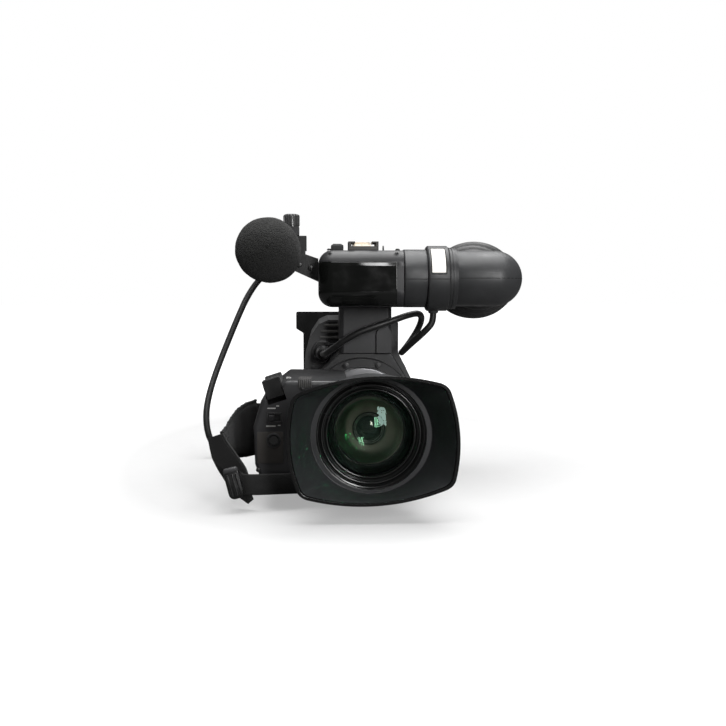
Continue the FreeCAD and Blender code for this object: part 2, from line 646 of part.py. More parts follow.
def make_mount_lock():
    """Locking ring of the lens mount with its lever."""
    ring = turned("lock_ring", [("throat_r + ring_gap", 0), (37, 0), (38, 1), (38, 6), (37, 7),
                                ("throat_r + ring_gap", 7)], lens_spot("-106"), AXIS_BACK)
    lever = box("lock_lever", (30, -104.5, "lens_z - 4"), (19, 4, 8))
    bore = rod("lock_lever_bore", lens_spot("-108"), "throat_r + 3", 12, AXIS_BACK)
    node("mount_lock_ring", join("mount_lock_ring", ring, cut("lock_lever_cut", lever, bore)))


def make_internals():
    """Prism and sensor block behind the lens mount, main board, fan and card reader."""
    prism = box("sensor_block", (-22, -50, "lens_z - 22"), (44, 46, 44))
    board = box("main_board", (26, -40, 30), (1.6, 170, 72))
    fan = rod("cooling_fan", (-40, 60, 70), 20, 10, AXIS_LEFT)
    reader = box("card_reader", (29, 94, 32), (14.6, 40, 28))
    node("sensor_and_boards", group("sensor_and_boards", prism, board, fan, reader))


def make_back():
    """Battery plate across the back, and the battery on it."""
    outline = [("-side_x - 2", 22), ("side_x - 4", 22), ("side_x - 4", 100), (34, 140), (-63.5, 140),
               (-63.5, 121), (-55.5, 116), (-55.5, 60)]
    node("battery_plate", padded("battery_plate", outline, "plate_t",
                                 ("0", "plate_y + plate_t", "0"), AXIS_FRONT, ease=2))
    profile = [(-40, 32), (40, 32), (40, 124), (-40, 124)]
    node("battery", padded("battery", profile, "battery_len",
                           ("0", "plate_y + plate_t + battery_len", "0"), AXIS_FRONT, ease=9, rim=2.5))


def make_base():
    """Tripod base with its two threads, and the shoulder pad that slides behind it."""
    foot = box("base_foot", ("-base_w / 2", "base_front_y", 0), ("base_w", "base_len", "bottom_z"))
    soft = eased("base_soft", foot, 6, along((0, 0, 1)))
    quarter = rod("tripod_thread", ("0", "0", "0"), "tripod_r", "tripod_depth")
    stud = rod("stud_thread", ("0", "stud_y", "0"), "stud_r", "stud_depth")
    node("base_plate", cut("base_plate", soft, quarter, stud))

    pad = box("pad_block", ("-pad_w / 2", "pad_y", 0), ("pad_w", "pad_len", "bottom_z - 0.2"))
    soft_pad = eased("pad_soft", pad, 8, along((0, 0, 1)))
    arch = rod("pad_arch", ("-pad_w / 2 - 1", "pad_y + pad_len / 2", "-pad_arch_drop"),
               "pad_arch_r", "pad_w + 2", AXIS_LEFT)
    node("shoulder_pad", cut("shoulder_pad", soft_pad, arch))


def make_monitor():
    """Flip out monitor that lies against the left side and turns about its barrel."""
    y, z, high = "lcd_y", "lcd_z", "lcd_z + lcd_h"
    panel = padded("lcd_panel_block", [(y, z), ("lcd_y + lcd_len", z), ("lcd_y + lcd_len", high),
                                       (y, high)],
                   "lcd_t", ("side_x + 0.6", "0", "0"), AXIS_LEFT, ease=4, rim=1.5)
    recess = box("screen_recess", ("side_x", "lcd_y + 9", "lcd_z + 5"),
                 (1.4, "lcd_len - 16", "lcd_h - 10"))
    barrel = rod("lcd_barrel", ("lcd_axis_x", "lcd_axis_y", "lcd_z + 7"), "lcd_barrel_r",
                 "lcd_h - 14")
    web = box("lcd_web", ("lcd_axis_x - 3", "lcd_axis_y", "lcd_z + 7"), (7, 8, "lcd_h - 14"))
    node("monitor", join("monitor", cut("lcd_shell", panel, recess), barrel, web))


def make_side_controls():
    """Card door, power switch, level knobs, filter dial and gain toggle on the left side."""
    door = box("card_door_plate", ("side_x - 2", 93.4, 31.4), (2.6, 41.2, 29.2))
    node("card_door", eased("card_door", door, 1, along((1, 0, 0))))
    node("power_switch", turned("power_switch", [(0, -8), (2.9, -8), (2.9, 0.3), (8, 0.3), (8, 5),
                                                 (7, 6), (0, 6)], ("side_x", 82, 36), AXIS_LEFT))
    for i, name in enumerate(("level_knob_1", "level_knob_2")):
        node(name, turned(name, [(0, -7), (1.9, -7), (1.9, 0.3), (5.5, 0.3), (5.2, 7), (4.4, 8),
                                 (0, 8)], ("side_x", 62 + 15 * i, 62), AXIS_LEFT))
    node("filter_dial", turned("filter_dial", [(0, -5), (2.9, -5), (2.9, 3.2), (9, 3.2), (9, 8),
                                               (8, 9), (0, 9)], (45, -76, 58), AXIS_LEFT))
    node("gain_switch", turned("gain_switch", [(0, -4), (1.2, -4), (1.2, 0), (2.1, 8.5), (1.4, 9.6),
                                               (0, 9.8)], (46.8, -76, 36), AXIS_LEFT))


def make_input_box():
    """Audio input box low on the right side: the first socket looks forward and out at 45
    degrees, the second straight out."""
    outline = [(-52, 60), (-52, 134), (-74, 134), (-74, 98), (-60, 66)]
    case = padded("input_case", outline, 34, ("0", "0", 24), AXIS_Z, ease=2)
    bores = []
    shells = []
    for i in range(2):
        bore = DOC.addObject("Part::Cylinder", f"socket_bore_{i}")
        bind(bore, Radius=10.2, Height=16)
        bore.Placement = Placement(socket_centre(i) - socket_way(i) * 12, socket_turn(i))
        bores.append(bore)
        shell = Part.makeCylinder(10, 11.6).cut(Part.makeCylinder(8.2, 12, Vector(0, 0, 3)))
        shell.Placement = Placement(socket_centre(i) - socket_way(i) * 11.8, socket_turn(i))
        shells.append(formed(f"socket_shell_{i}", shell))
    node("input_box", cut("input_box", case, *bores))
    finder = turned("finder_socket", [(5.2, 0), (6.2, 0), (6.2, 8), (5.2, 8)],
                    ("finder_plug_x", "shell_front_y + 1.2", "finder_plug_z"), AXIS_FRONT)
    node("panel_sockets", group("panel_sockets", *shells, finder))


def socket_way(i):
    """Way out of an audio socket."""
    return Vector(-1, -0.5, 0).normalize() if i == 0 else Vector(-1, 0, 0)


def socket_turn(i):
    return Rotation(Vector(0, 0, 1), socket_way(i))


def socket_centre(i):
    """Middle of an audio socket's mouth."""
    return Vector(-67.5, 81, 38) if i == 0 else Vector(-74, 116, 41)


# ---------------------------------------------------------------- handle and viewfinder bracket

def make_handle():
    """Viewfinder bracket with the front pillar, the handle bar and its rear pillar."""
    y, z = "head_y", "head_z"
    profile = [(y, z), ("head_y + head_d", z), ("head_y + head_d", "head_z + head_h"),
               (y, "head_z + head_h")]
    head = padded("head_block", profile, "head_w", ("head_x", "0", "0"), AXIS_LEFT, ease=13)
    soft = eased("head_soft", head, 12, left_rim)
    side, depth = "pillar_x + pillar_w", "pillar_y + pillar_d"
    pillar = padded("front_pillar", [("pillar_x", "pillar_y"), (side, "pillar_y"), (side, depth),
                                     ("pillar_x", depth)],
                    "bar_z - 108", ("0", "0", 108), AXIS_Z, ease=4)
    neck = box("pillar_neck", ("pillar_x + 1", "pillar_y - 8", "head_z + 5"),
               ("pillar_w - 2", 14, "bar_z - head_z - 5"))
    boss = box("pillar_boss", (12.5, "pillar_y - 3.2", 108.2), (13, 8, 22))
    soft_boss = eased("boss_soft", boss, 5.5, boss_corner)
    bore = rod("tube_bore", ("tube_x - 4", "vf_y", "vf_z"), "tube_bore_r",
               "head_x + head_w - tube_x + 5", AXIS_LEFT)
    fascia_seat = box("fascia_seat", ("head_x - 1", "head_y - 1", "head_z - 1"),
                      ("fascia_side - head_x + 1 + seam", "fascia_depth + 1 + seam",
                       "fascia_top - head_z + 1 + seam"))
    fascia_room = box("fascia_room", ("head_x - 1", "head_y - 1", "head_z - 1"),
                      ("fascia_side - head_x + 1", "fascia_depth + 1", "fascia_top - head_z + 1"))
    solid = join("bracket_solid", cut("head_behind_fascia", soft, fascia_seat), pillar, neck, soft_boss)
    node("viewfinder_bracket", cut("viewfinder_bracket", solid, bore))
    panel = DOC.addObject("Part::MultiCommon", "front_panel")
    panel.Shapes = [soft, fascia_room]
    node("front_panel", panel)

    bar = padded("bar_block", [(-13, "bar_z"), (13, "bar_z"), (15, "bar_z + 4"), (15, "bar_z + 17"),
                               (10, "bar_z + bar_h"), (-10, "bar_z + bar_h"), (-15, "bar_z + 17"),
                               (-15, "bar_z + 4")],
                 "bar_end_y - head_y - head_d - 0.2", ("0", "bar_end_y", "0"), AXIS_FRONT, ease=1.5)
    soft_bar = eased("bar_soft", bar, 3, front_rim("bar_end_y"))
    button_hole = rod("handle_button_hole", ("0", -70, "bar_z + bar_h - 5"), 6.3, 8)
    rocker_slot = box("handle_rocker_slot", (-5.5, -52, "bar_z + bar_h - 5"), (11, 26, 8))
    node("handle_bar", cut("handle_bar", soft_bar, button_hole, rocker_slot))
    node("handle_record_button", rod("handle_record_button", ("0", -70, "bar_z + bar_h - 3"), 6, 5))
    node("handle_zoom_rocker", formed("handle_zoom_rocker", handle_rocker()))
    near, far = "rear_pillar_y", "rear_pillar_y + rear_pillar_d"
    node("rear_pillar", padded("rear_pillar", [(-16, near), (16, near), (16, far), (-16, far)],
                               "bar_z - top_z", ("0", "0", "top_z"), AXIS_Z, ease=6))


def left_rim(edge):
    """Chooses the edges of the bracket's flat right hand end."""
    return all(abs(v.X - size("head_x")) < 1e-4 for v in edge.Vertexes)


def boss_corner(edge):
    """Chooses the two upright corners and the top corner at the front of the pillar's boss."""
    ends = [v.Point for v in edge.Vertexes]
    return abs(ends[0].y - ends[1].y) > 1 and min(p.z for p in ends) > 120


def handle_rocker():
    """Small seesaw in the handle's cover, pivoting across it."""
    profile = [(-12.4, -2.6), (-12.4, 3), (-8, 3), (0, 1), (8, 3), (12.4, 3), (12.4, -2.6), (0, -4)]
    points = [Vector(-5.2, y, z) for y, z in profile]
    shape = Part.Face(Part.makePolygon(points + points[:1])).extrude(Vector(10.4, 0, 0))
    shape.Placement = Placement(Vector(0, -39, size("bar_z + bar_h")), Rotation())
    return shape


def make_shoe():
    """Accessory shoe on the bracket: a base and two side rails with lips."""
    z = "head_z + head_h"
    parts = [box("shoe_base", (-13, -138, z), (25, 22, 3.5))]
    for i, (rail_x, lip_x) in enumerate(((-13, -13), (9.5, 6.5))):
        parts.append(box(f"shoe_rail_{i}", (rail_x, -138, z), (2.5, 22, 7.5)))
        parts.append(box(f"shoe_lip_{i}", (lip_x, -138, f"{z} + 5.9"), (5.5, 22, 1.6)))
    node("accessory_shoe", join("accessory_shoe", *parts))


def make_viewfinder():
    """Sliding tube and collar, drum with the tally lamp, and the elbow that tips the eyepiece."""
    def spot(x):
        return (x, "vf_y", "vf_z")
    way = AXIS_LEFT
    tube = turned("vf_tube", [(12, 0), ("tube_r", 0), ("tube_r", "collar_x - tube_x"),
                              ("collar_r - 1", "collar_x - tube_x"),
                              ("collar_r", "collar_x - tube_x + 1"),
                              ("collar_r", "collar_x - tube_x + collar_len"),
                              (12, "collar_x - tube_x + collar_len")], spot("tube_x"), way)
    node("viewfinder_slide", tube)
    drum = turned("vf_drum", [(12, 0), ("drum_r - 1", 0), ("drum_r", 1), ("drum_r", "drum_len - 1"),
                              ("drum_r - 1", "drum_len"), ("pivot_r", "drum_len"),
                              ("pivot_r", "drum_len + pivot_len"), (12, "drum_len + pivot_len")],
                  spot("drum_x"), way)
    gland = turned("vf_gland", [(0, 0), (3.6, 0), (4.4, 1.6), (4.4, 8), (0, 8)],
                   ("drum_x + 6.5", "vf_y", "vf_z - drum_r - 2"), AXIS_Z)
    bore = rod("display_bore", spot("drum_x - 1"), 12, 30, way)
    node("viewfinder_drum", cut("viewfinder_drum", join("drum_and_gland", drum, gland), bore))

    stem = rod("elbow_stem", spot("elbow_x"), "elbow_r", "elbow_tip_x - elbow_r - elbow_x", way)
    spigot = rod("elbow_spigot", spot("elbow_x - 10"), 11.6, 12, way)
    tip = ball("elbow_tip", spot("elbow_tip_x - elbow_r"), "elbow_r")
    eye = rod("eye_tube", ("eye_x", "vf_y", "vf_z"), "eye_r", "eye_end_y - vf_y", AXIS_BACK)
    neck = rod("eye_neck", ("eye_x", "vf_y", "vf_z"), 15.7, "eye_end_y - vf_y + 18", AXIS_BACK)
    light = rod("elbow_light_way", spot("elbow_x - 11"), 9, "eye_x - elbow_x + 11", way)
    eye_bore = rod("eye_bore", ("eye_x", "vf_y - 8", "vf_z"), 13.5, "eye_end_y - vf_y + 30", AXIS_BACK)
    elbow = join("elbow_solid", stem, spigot, tip, eye, neck)
    node("eyepiece_elbow", cut("eyepiece_elbow", elbow, light, eye_bore))
    node("eyepiece_lens", turned("eyepiece_lens", [(0, 0), (13.4, 2), (13.4, 5), (0, 7)],
                                 ("eye_x", "eye_end_y + 6", "vf_z"), AXIS_BACK))
    ring = turned("diopter_ring", [(16, 0), ("diopter_r - 1", 0), ("diopter_r", 1),
                                   ("diopter_r", "diopter_len - 1"), ("diopter_r - 1", "diopter_len"),
                                   (16, "diopter_len")], ("eye_x", "eye_end_y + 0.3", "vf_z"),
                  AXIS_BACK)
    node("diopter_ring", ring)
    round_cup = turned("round_eyecup", [(15.8, 0), (22.5, 0), (24, 6), (30, 14), ("cup_r - 1.5", 20),
                            ("cup_r", 27), ("cup_r - 1", 34), ("cup_r - 6", "cup_len"),
                            ("cup_r - 8.5", "cup_len - 1"), ("cup_r - 4", 33), ("cup_r - 2.8", 27),
                            ("cup_r - 4.5", 21), (27.5, 16.5), (21.2, 8), (20, 3.5), (15.8, 3.5)],
                 ("eye_x", "eye_end_y + diopter_len + 0.6", "vf_z"), AXIS_BACK)
    DOC.recompute()
    widen = FreeCAD.Matrix()
    widen.move(Vector(-size("eye_x"), 0, 0))
    widen.scale(Vector(size("cup_widen"), 1, 1))
    widen.move(Vector(size("eye_x"), 0, 0))
    node("eyecup", formed("eyecup", round_cup.Shape.transformGeometry(widen)))


# ---------------------------------------------------------------- microphone

def make_microphone():
    """Microphone in its rubber cushion, the foam windscreen, and the hinged clamp on its arm."""
    spot = ("mic_x", "mic_y", "mic_z")
    body = turned("mic_body", [(0, 0), ("mic_r - 1", 0), ("mic_r", 1), ("mic_r", "mic_len"),
                               (0, "mic_len")], spot, AXIS_BACK)
    cushion = turned("mic_cushion", [("mic_r", 0), ("clamp_in_r - 0.05", 0),
                                     ("clamp_in_r - 0.05", "clamp_len"), ("mic_r", "clamp_len")],
                     ("mic_x", "clamp_y", "mic_z"), AXIS_BACK)
    node("microphone", group("microphone", body, cushion))
    tip = ball("foam_tip", ("mic_x", "foam_y + foam_r", "mic_z"), "foam_r")
    sock = rod("foam_sock", ("mic_x", "foam_y + foam_r", "mic_z"), "foam_r", "foam_len - foam_r",
               AXIS_BACK)
    soft = eased("foam_soft", sock, 6, front_rim("foam_y + foam_len"))
    hole = rod("foam_hole", spot, "mic_r", "mic_len", AXIS_BACK)
    node("windscreen", cut("windscreen", join("foam_solid", tip, soft), hole))

    ring = turned("clamp_ring", [("clamp_in_r", 0), ("clamp_r", 0), ("clamp_r", "clamp_len"),
                                 ("clamp_in_r", "clamp_len")], ("mic_x", "clamp_y", "mic_z"),
                  AXIS_BACK)
    upper_space = box("upper_space", ("mic_x - 25", "clamp_y - 1", "mic_z + 0.15"), (50, 30, 30))
    half = cut("lower_half_ring", ring, upper_space)
    ear = box("lower_ear", (-63, "clamp_y + 2", "mic_z + 2.4"), (15, 18, 12.2))
    ear_space = rod("ear_space", ("mic_x", "clamp_y - 1", "mic_z"), "clamp_r + 0.5", 30, AXIS_BACK)
    nut_pocket = rod("nut_pocket", ("knob_x", "clamp_y + 11", "mic_z + 10"), 3.6, 10)
    foot = box("ear_foot", (-55, "clamp_y + 2", "mic_z - 6"), (6, 16, 10))
    arm = padded("mic_arm", [(-50, 193.5), (-40, 190), ("head_x", 189.5), ("head_x", 170), (-60, 180),
                             (-68, 182.5)], 18, ("0", "clamp_y + 19", "0"), AXIS_FRONT)
    bore = rod("clamp_bore", ("mic_x", "clamp_y - 1", "mic_z"), "clamp_in_r", 30, AXIS_BACK)
    swing_space = rod("swing_space", ("mic_x - clamp_hinge", "clamp_y - 1", "mic_z + 0.2"),
                      "clamp_r + clamp_hinge + 0.5", 30, AXIS_BACK)
    solid = join("holder_solid", half, cut("ear_cut", ear, ear_space, swing_space, nut_pocket), foot,
                 cut("arm_cut", arm, bore))
    node("mic_holder", solid)

    upper = turned("cap_ring", [("clamp_in_r + 0.05", 0), ("clamp_r", 0), ("clamp_r", "clamp_len"),
                                ("clamp_in_r + 0.05", "clamp_len")], ("mic_x", "clamp_y", "mic_z"),
                   AXIS_BACK)
    lower_space = box("lower_space", ("mic_x - 25", "clamp_y - 1", "mic_z - 29.7"), (50, 30, 30))
    upper_ear = box("upper_ear", ("mic_x + 6", "clamp_y + 2", "mic_z + 15.2"), (17.3, 18, 7.2))
    screw_way = rod("screw_way", ("knob_x", "clamp_y + 11", "mic_z"), 2.2, 40)
    inside = rod("cap_inside", ("mic_x", "clamp_y - 1", "mic_z"), "clamp_in_r + 0.05", 30, AXIS_BACK)
    node("mic_clamp", cut("mic_clamp", join("cap_solid", upper, upper_ear), lower_space, screw_way,
                          inside))
    node("clamp_knob", turned("clamp_knob", [(0, -9.4), (1.9, -9.4), (1.9, 0.3), (6, 0.3), (6, 9.6),
                                             (5, 10.6), (0, 10.6)],
                              ("knob_x", "clamp_y + 11", "mic_z + 22.4"), AXIS_Z))


# ---------------------------------------------------------------- cables

MIC_ROUTE = [(-77.5, 31, 194), (-77.5, 47, 194), (-81, 59, 191), (-90, 66, 183.5), (-102, 67, 172),
             (-111.5, 62, 157), (-118.5, 55, 141), (-126, 47, 122), (-134, 38, 101), (-141, 28, 81),
             (-145.8, 18.5, 64), (-148.5, 9, 48), (-148, 1.5, 34), (-145.3, -2.5, 22),
             (-140.5, -1.5, 12), (-135.5, 6, 6), (-131.5, 17, 5.5), (-129, 28.5, 11), (-127.5, 38, 21),
             (-124.5, 47, 31), (-117.58, 55.96, 38), (-105.07, 62.22, 38)]
FINDER_ROUTE = [(-34, -84.8, 106.5), (-34, -97, 106.5), (-27.5, -106, 111), (-16, -110, 119.5),
                (-3, -111.5, 127), (12, -111, 132), (27, -109, 137), (40, -105, 141.5),
                (50, -97, 143), (54, -86, 138.5), (51.5, -79.5, 129), (45, -79, 118.5),
                (38.5, -84.5, 110.5), (34.5, -95, 107.8), (35, -106.5, 109.8), (40.5, -117, 116.5),
                (47.5, -124, 123.5), (54, -127, 130), (58.9, -127, 136), (58.9, -127, 143.2)]


def round_path(route):
    """Straight runs joined by tangent arcs, each as large as its two runs allow."""
    spots = [Vector(*p) for p in route]
    edges, radii, here = [], [], spots[0]
    for before, corner, after in zip(spots, spots[1:], spots[2:]):
        a, b = corner - before, after - corner
        turn = a.getAngle(b)
        reach = 0.45 * min(a.Length, b.Length)
        radii.append(reach / math.tan(turn / 2))
        start = corner - Vector(a).normalize() * reach
        end = corner + Vector(b).normalize() * reach
        middle_way = (Vector(b).normalize() - Vector(a).normalize()).normalize()
        sag = radii[-1] * (1 / math.cos(turn / 2) - 1)
        edges.append(Part.LineSegment(here, start).toShape())
        edges.append(Part.Arc(start, corner + middle_way * sag, end).toShape())
        here = end
    edges.append(Part.LineSegment(here, spots[-1]).toShape())
    return Part.Wire(edges), radii


def cable(name, route, radius):
    path, radii = round_path(route)
    first = path.Edges[0]
    way = first.tangentAt(first.FirstParameter)
    ring = Part.Wire([Part.makeCircle(radius, Vector(*route[0]), way)])
    tube = path.makePipeShell([ring], True, False)
    wanted = math.pi * radius ** 2 * path.Length
    print(f"{name}: length {path.Length:.0f} mm, least radius {min(radii):.1f} mm,",
          "radii", [round(r) for r in radii], f"volume share {tube.Volume / wanted:.3f}")
    node(name, formed(name, tube))


def make_cables():
    """The two cables and the plugs on their ends."""
    cable("mic_cable", MIC_ROUTE, size("cable_r"))
    cable("viewfinder_cable", FINDER_ROUTE, size("finder_cable_r"))
    tail = "plug_len + 5"
    mic_plug = turned("mic_plug", [(0, 0.3), ("plug_r", 0.3), ("plug_r", "plug_len"),
                                   ("plug_r - 2", "plug_len + 4"), (4.6, tail),
                                   (3.4, f"{tail} + relief_len"), (0, f"{tail} + relief_len")],
                      ("mic_x", "mic_y + mic_len", "mic_z"), AXIS_BACK)
    input_plug = turned("input_plug", [(0, 0), (8, 0), (8, 8), ("plug_r", 9), ("plug_r", 34),
                                       ("plug_r - 2", 37), (4.6, 38), (3.4, 50), (0, 50)],
                        (0, 0, 0))
    rest(input_plug, Placement(socket_centre(0) - socket_way(0) * 8, socket_turn(0)))
    print("input plug ends at", socket_centre(0) + socket_way(0) * 42, "way", socket_way(0))
    finder_plug = turned("finder_plug", [(0, 0), (5, 0), (5, 9.5), (6.6, 9.5), (6.6, 20), (4.4, 24),
                                         (3.2, 29.5), (0, 29.5)],
                         ("finder_plug_x", "shell_front_y + 1.2", "finder_plug_z"), AXIS_FRONT)
    node("cable_plugs", group("cable_plugs", mic_plug, input_plug, finder_plug))


def main():
    fill_sheet()
    make_barrel()
    make_front_ring()
    make_glass()
    make_inner_cells()
    make_zoom_train()
    node("focus_ring", lens_ring("focus_ring", "focus_y", "focus_len", "focus_r"))
    node("iris_ring", lens_ring("iris_ring", "iris_y", "iris_len", "iris_r"))
    make_hood()
    make_hood_knob()
    make_grip()
    make_rocker()
    make_strap()
    make_covers()
    make_front_housing()
    make_fasteners()
    make_mount_lock()
    make_internals()
    make_back()
    make_base()
    make_monitor()
    make_side_controls()
    make_input_box()
    make_handle()
    make_shoe()
    make_viewfinder()
    make_microphone()
    make_cables()
    DOC.recompute()
    write_parts()


def write_parts():
    """Checks every object and each part's shape, then writes one STEP file per part."""
    failed = [o.Name for o in DOC.Objects if {"Invalid", "Error"} & set(o.State)]
    if failed:
        raise RuntimeError(f"failed objects: {failed}")
    bad = [n for n, o in NODES.items() if o.Shape.isNull() or not o.Shape.isValid()
           or not o.Shape.Solids]
    if bad:
        raise RuntimeError(f"bad shapes: {bad}")
    os.makedirs("parts", exist_ok=True)
    for name, obj in NODES.items():
        obj.Shape.exportStep(os.path.join("parts", name + ".step"))
    print(len(NODES), "parts written")


main()
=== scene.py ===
"""Looks for a shoulder camcorder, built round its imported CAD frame.

Shapes are written in millimetres and become metres in put_mesh(). Most places come from the boxes of
the CAD nodes; the others are in the row frame, whose origin is the mouth of the tripod thread.
"""
import json
import math

import bmesh
import bpy
from mathutils import Matrix, Vector, noise
from mathutils.bvhtree import BVHTree


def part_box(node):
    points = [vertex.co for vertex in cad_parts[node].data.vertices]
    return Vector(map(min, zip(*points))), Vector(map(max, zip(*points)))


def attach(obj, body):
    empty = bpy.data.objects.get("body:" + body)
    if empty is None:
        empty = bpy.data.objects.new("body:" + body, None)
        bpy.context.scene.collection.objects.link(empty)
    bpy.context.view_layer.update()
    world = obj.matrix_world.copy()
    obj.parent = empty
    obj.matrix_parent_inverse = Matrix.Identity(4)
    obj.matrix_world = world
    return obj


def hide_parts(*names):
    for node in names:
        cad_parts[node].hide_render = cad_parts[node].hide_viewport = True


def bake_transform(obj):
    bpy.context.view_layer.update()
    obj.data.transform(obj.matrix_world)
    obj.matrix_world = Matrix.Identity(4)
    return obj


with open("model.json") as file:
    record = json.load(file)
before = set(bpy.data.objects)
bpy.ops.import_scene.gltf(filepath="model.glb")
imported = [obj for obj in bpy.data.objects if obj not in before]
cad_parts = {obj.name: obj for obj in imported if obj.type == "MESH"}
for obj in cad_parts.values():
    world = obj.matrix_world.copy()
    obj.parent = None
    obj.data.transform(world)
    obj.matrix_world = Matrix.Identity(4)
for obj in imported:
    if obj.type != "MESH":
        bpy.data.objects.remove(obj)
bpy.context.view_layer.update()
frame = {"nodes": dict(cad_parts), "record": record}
MM = 0.001
X, Y, Z = Vector((1, 0, 0)), Vector((0, 1, 0)), Vector((0, 0, 1))


def mm(x, y, z):
    """A place in the row frame from millimetres."""
    return Vector((x, y, z)) * MM


def box_mm(node):
    """The low and high corners of a CAD node's box, in millimetres."""
    return [[v / MM for v in corner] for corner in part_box(node)]


def spot(node, share, shift=(0, 0, 0)):
    """A point of a CAD node's box, by shares of its sides, moved by millimetres."""
    low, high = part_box(node)
    return Vector([a + (b - a) * s + d * MM for a, b, s, d in zip(low, high, share, shift)])


# strength of the even light from all round
AMBIENT = 0.07
# name, place, width, height and watts of each soft light
LIGHTS = [("overhead", (0.05, -0.2, 1.25), 1.3, 1.0, 18),
          ("back_top", (0.3, 0.5, 1.25), 0.9, 0.9, 7),
          ("front_window", (0.4, -1.35, 0.45), 0.25, 0.6, 8),
          ("left_back", (-1.1, 0.9, 0.7), 0.9, 0.9, 1.5)]
# floor glow: from this distance to that, from this strength to that
FLOOR_GLOW = (0.22, 0.5, 0.36, 1.2)
# the floor's colour as the object sees it, which is darker than what the camera sees
FLOOR_BOUNCE = (0.12, 0.12, 0.12)
# where the lights point
TARGET = Vector((0, -0.1, 0.1))
MIDDLE = (0.5, 0.5, 0.5)
FRONT_FACE = (0.5, 0, 0.5)
FINDER = spot("viewfinder_slide", MIDDLE)
MIC = spot("windscreen", MIDDLE)


# ---------------------------------------------------------------- camera

def make_camera():
    data = bpy.data.cameras.new("camera")
    data.sensor_width = 36
    data.lens = 48.1
    data.clip_start, data.clip_end = 0.01, 50
    camera = bpy.data.objects.new("camera", data)
    camera.location = (-0.0367, -0.945, 0.1586)
    camera.rotation_euler = Vector((0.0443, 1, -0.0701)).to_track_quat("-Z", "Y").to_euler()
    bpy.context.scene.collection.objects.link(camera)
    bpy.context.scene.camera = camera


# ---------------------------------------------------------------- materials

class Surface:
    """A procedural material under construction, on the object's own coordinates. Its colour is
    linear red, green and blue, or one number for a grey."""

    def __init__(self, name, colour, rough, **sockets):
        self.mat = bpy.data.materials.new(name)
        self.mat.use_nodes = True
        self.tree = self.mat.node_tree
        self.shader = self.tree.nodes["Principled BSDF"]
        self.coord = self.tree.nodes.new("ShaderNodeTexCoord").outputs["Object"]
        self.colour = colour if isinstance(colour, tuple) else (colour,) * 3
        self.rough = rough
        for socket, value in sockets.items():
            self.shader.inputs[socket.replace("_", " ")].default_value = value

    def add(self, kind, links=(), **settings):
        made = self.tree.nodes.new("ShaderNode" + kind)
        for key, value in settings.items():
            if hasattr(made, key) and not isinstance(value, tuple):
                setattr(made, key, value)
            else:
                made.inputs[key.replace("_", " ")].default_value = value
        for socket, source in links:
            self.tree.links.new(source, made.inputs[socket])
        return made

    def noise(self, scale, detail=3.0, stretch=(1, 1, 1)):
        where = self.add("Mapping", [("Vector", self.coord)], Scale=stretch).outputs[0]
        return self.add("TexNoise", [("Vector", where)], Scale=scale, Detail=detail).outputs["Fac"]

    def span(self, source, low, high, to_low=0.0, to_high=1.0):
        made = self.add("MapRange", [("Value", source)])
        for i, value in enumerate((low, high, to_low, to_high), start=1):
            made.inputs[i].default_value = value
        return made.outputs[0]

    def combine(self, kind, a, b):
        return self.add("Math", [(0, a), (1, b)], operation=kind).outputs[0]

    def tint(self, share, colour_a, colour_b):
        """The colour that runs from a to b as share goes from 0 to 1. Either may be a socket."""
        made = self.add("Mix", data_type="RGBA")
        self.tree.links.new(share, made.inputs[0])
        for socket, colour in ((6, colour_a), (7, colour_b)):
            if isinstance(colour, tuple):
                made.inputs[socket].default_value = (*colour, 1)
            else:
                self.tree.links.new(colour, made.inputs[socket])
        return made.outputs[2]

    def finish(self, height=None, depth=0.0, spread=0.22, blotch=24.0, haze=0.08, worn=None,
               top=None):
        """Colour and roughness drift by blotch noise, worn edges, and bump of that depth in metres."""
        drift = self.span(self.noise(blotch, 4.0), 0.3, 0.7)
        dark = tuple(c * (1 - spread) for c in self.colour)
        light = tuple(c * (1 + spread) for c in self.colour)
        colour = self.tint(drift, dark, light) if top is None else top(drift, dark, light)
        rough = self.span(self.noise(blotch * 3, 3.0), 0.3, 0.7, self.rough - haze, self.rough + haze)
        if worn is not None:
            edge = self.add("Bevel", samples=3, Radius=0.0007)
            true = self.add("NewGeometry")
            same = self.add("VectorMath", [(0, edge.outputs[0]), (1, true.outputs["Normal"])],
                            operation="DOT_PRODUCT").outputs["Value"]
            bare = self.combine("MULTIPLY", self.span(same, 0.99, 0.86),
                                self.span(self.noise(260, 2.0), 0.42, 0.62))
            colour = self.tint(bare, colour, worn)
        self.tree.links.new(colour, self.shader.inputs["Base Color"])
        self.tree.links.new(rough, self.shader.inputs["Roughness"])
        if height is not None:
            bump = self.add("Bump", [("Height", height)], Distance=depth, Strength=1.0)
            self.tree.links.new(bump.outputs[0], self.shader.inputs["Normal"])
        return self.mat

    def weave(self, across, along, pitch):
        """Height of a plain weave of threads at that pitch in metres, over two coordinates."""
        split = self.add("SeparateXYZ", [("Vector", self.coord)])
        waves = []
        for axis in (across, along):
            turns = self.add("Math", [(0, split.outputs[axis])], operation="MULTIPLY")
            turns.inputs[1].default_value = math.pi / pitch
            waves.append(self.add("Math", [(0, turns.outputs[0])], operation="SINE").outputs[0])
        both = self.combine("MULTIPLY", *waves)
        return self.span(self.combine("ADD", both, self.noise(1 / pitch, 2.0)), -1.0, 2.0)


def plastic(name, colour, rough, scale=1500.0, depth=0.00006, worn=(0.06, 0.06, 0.062), **more):
    made = Surface(name, colour, rough, **more)
    return made.finish(made.noise(scale, 2.0), depth, worn=worn)


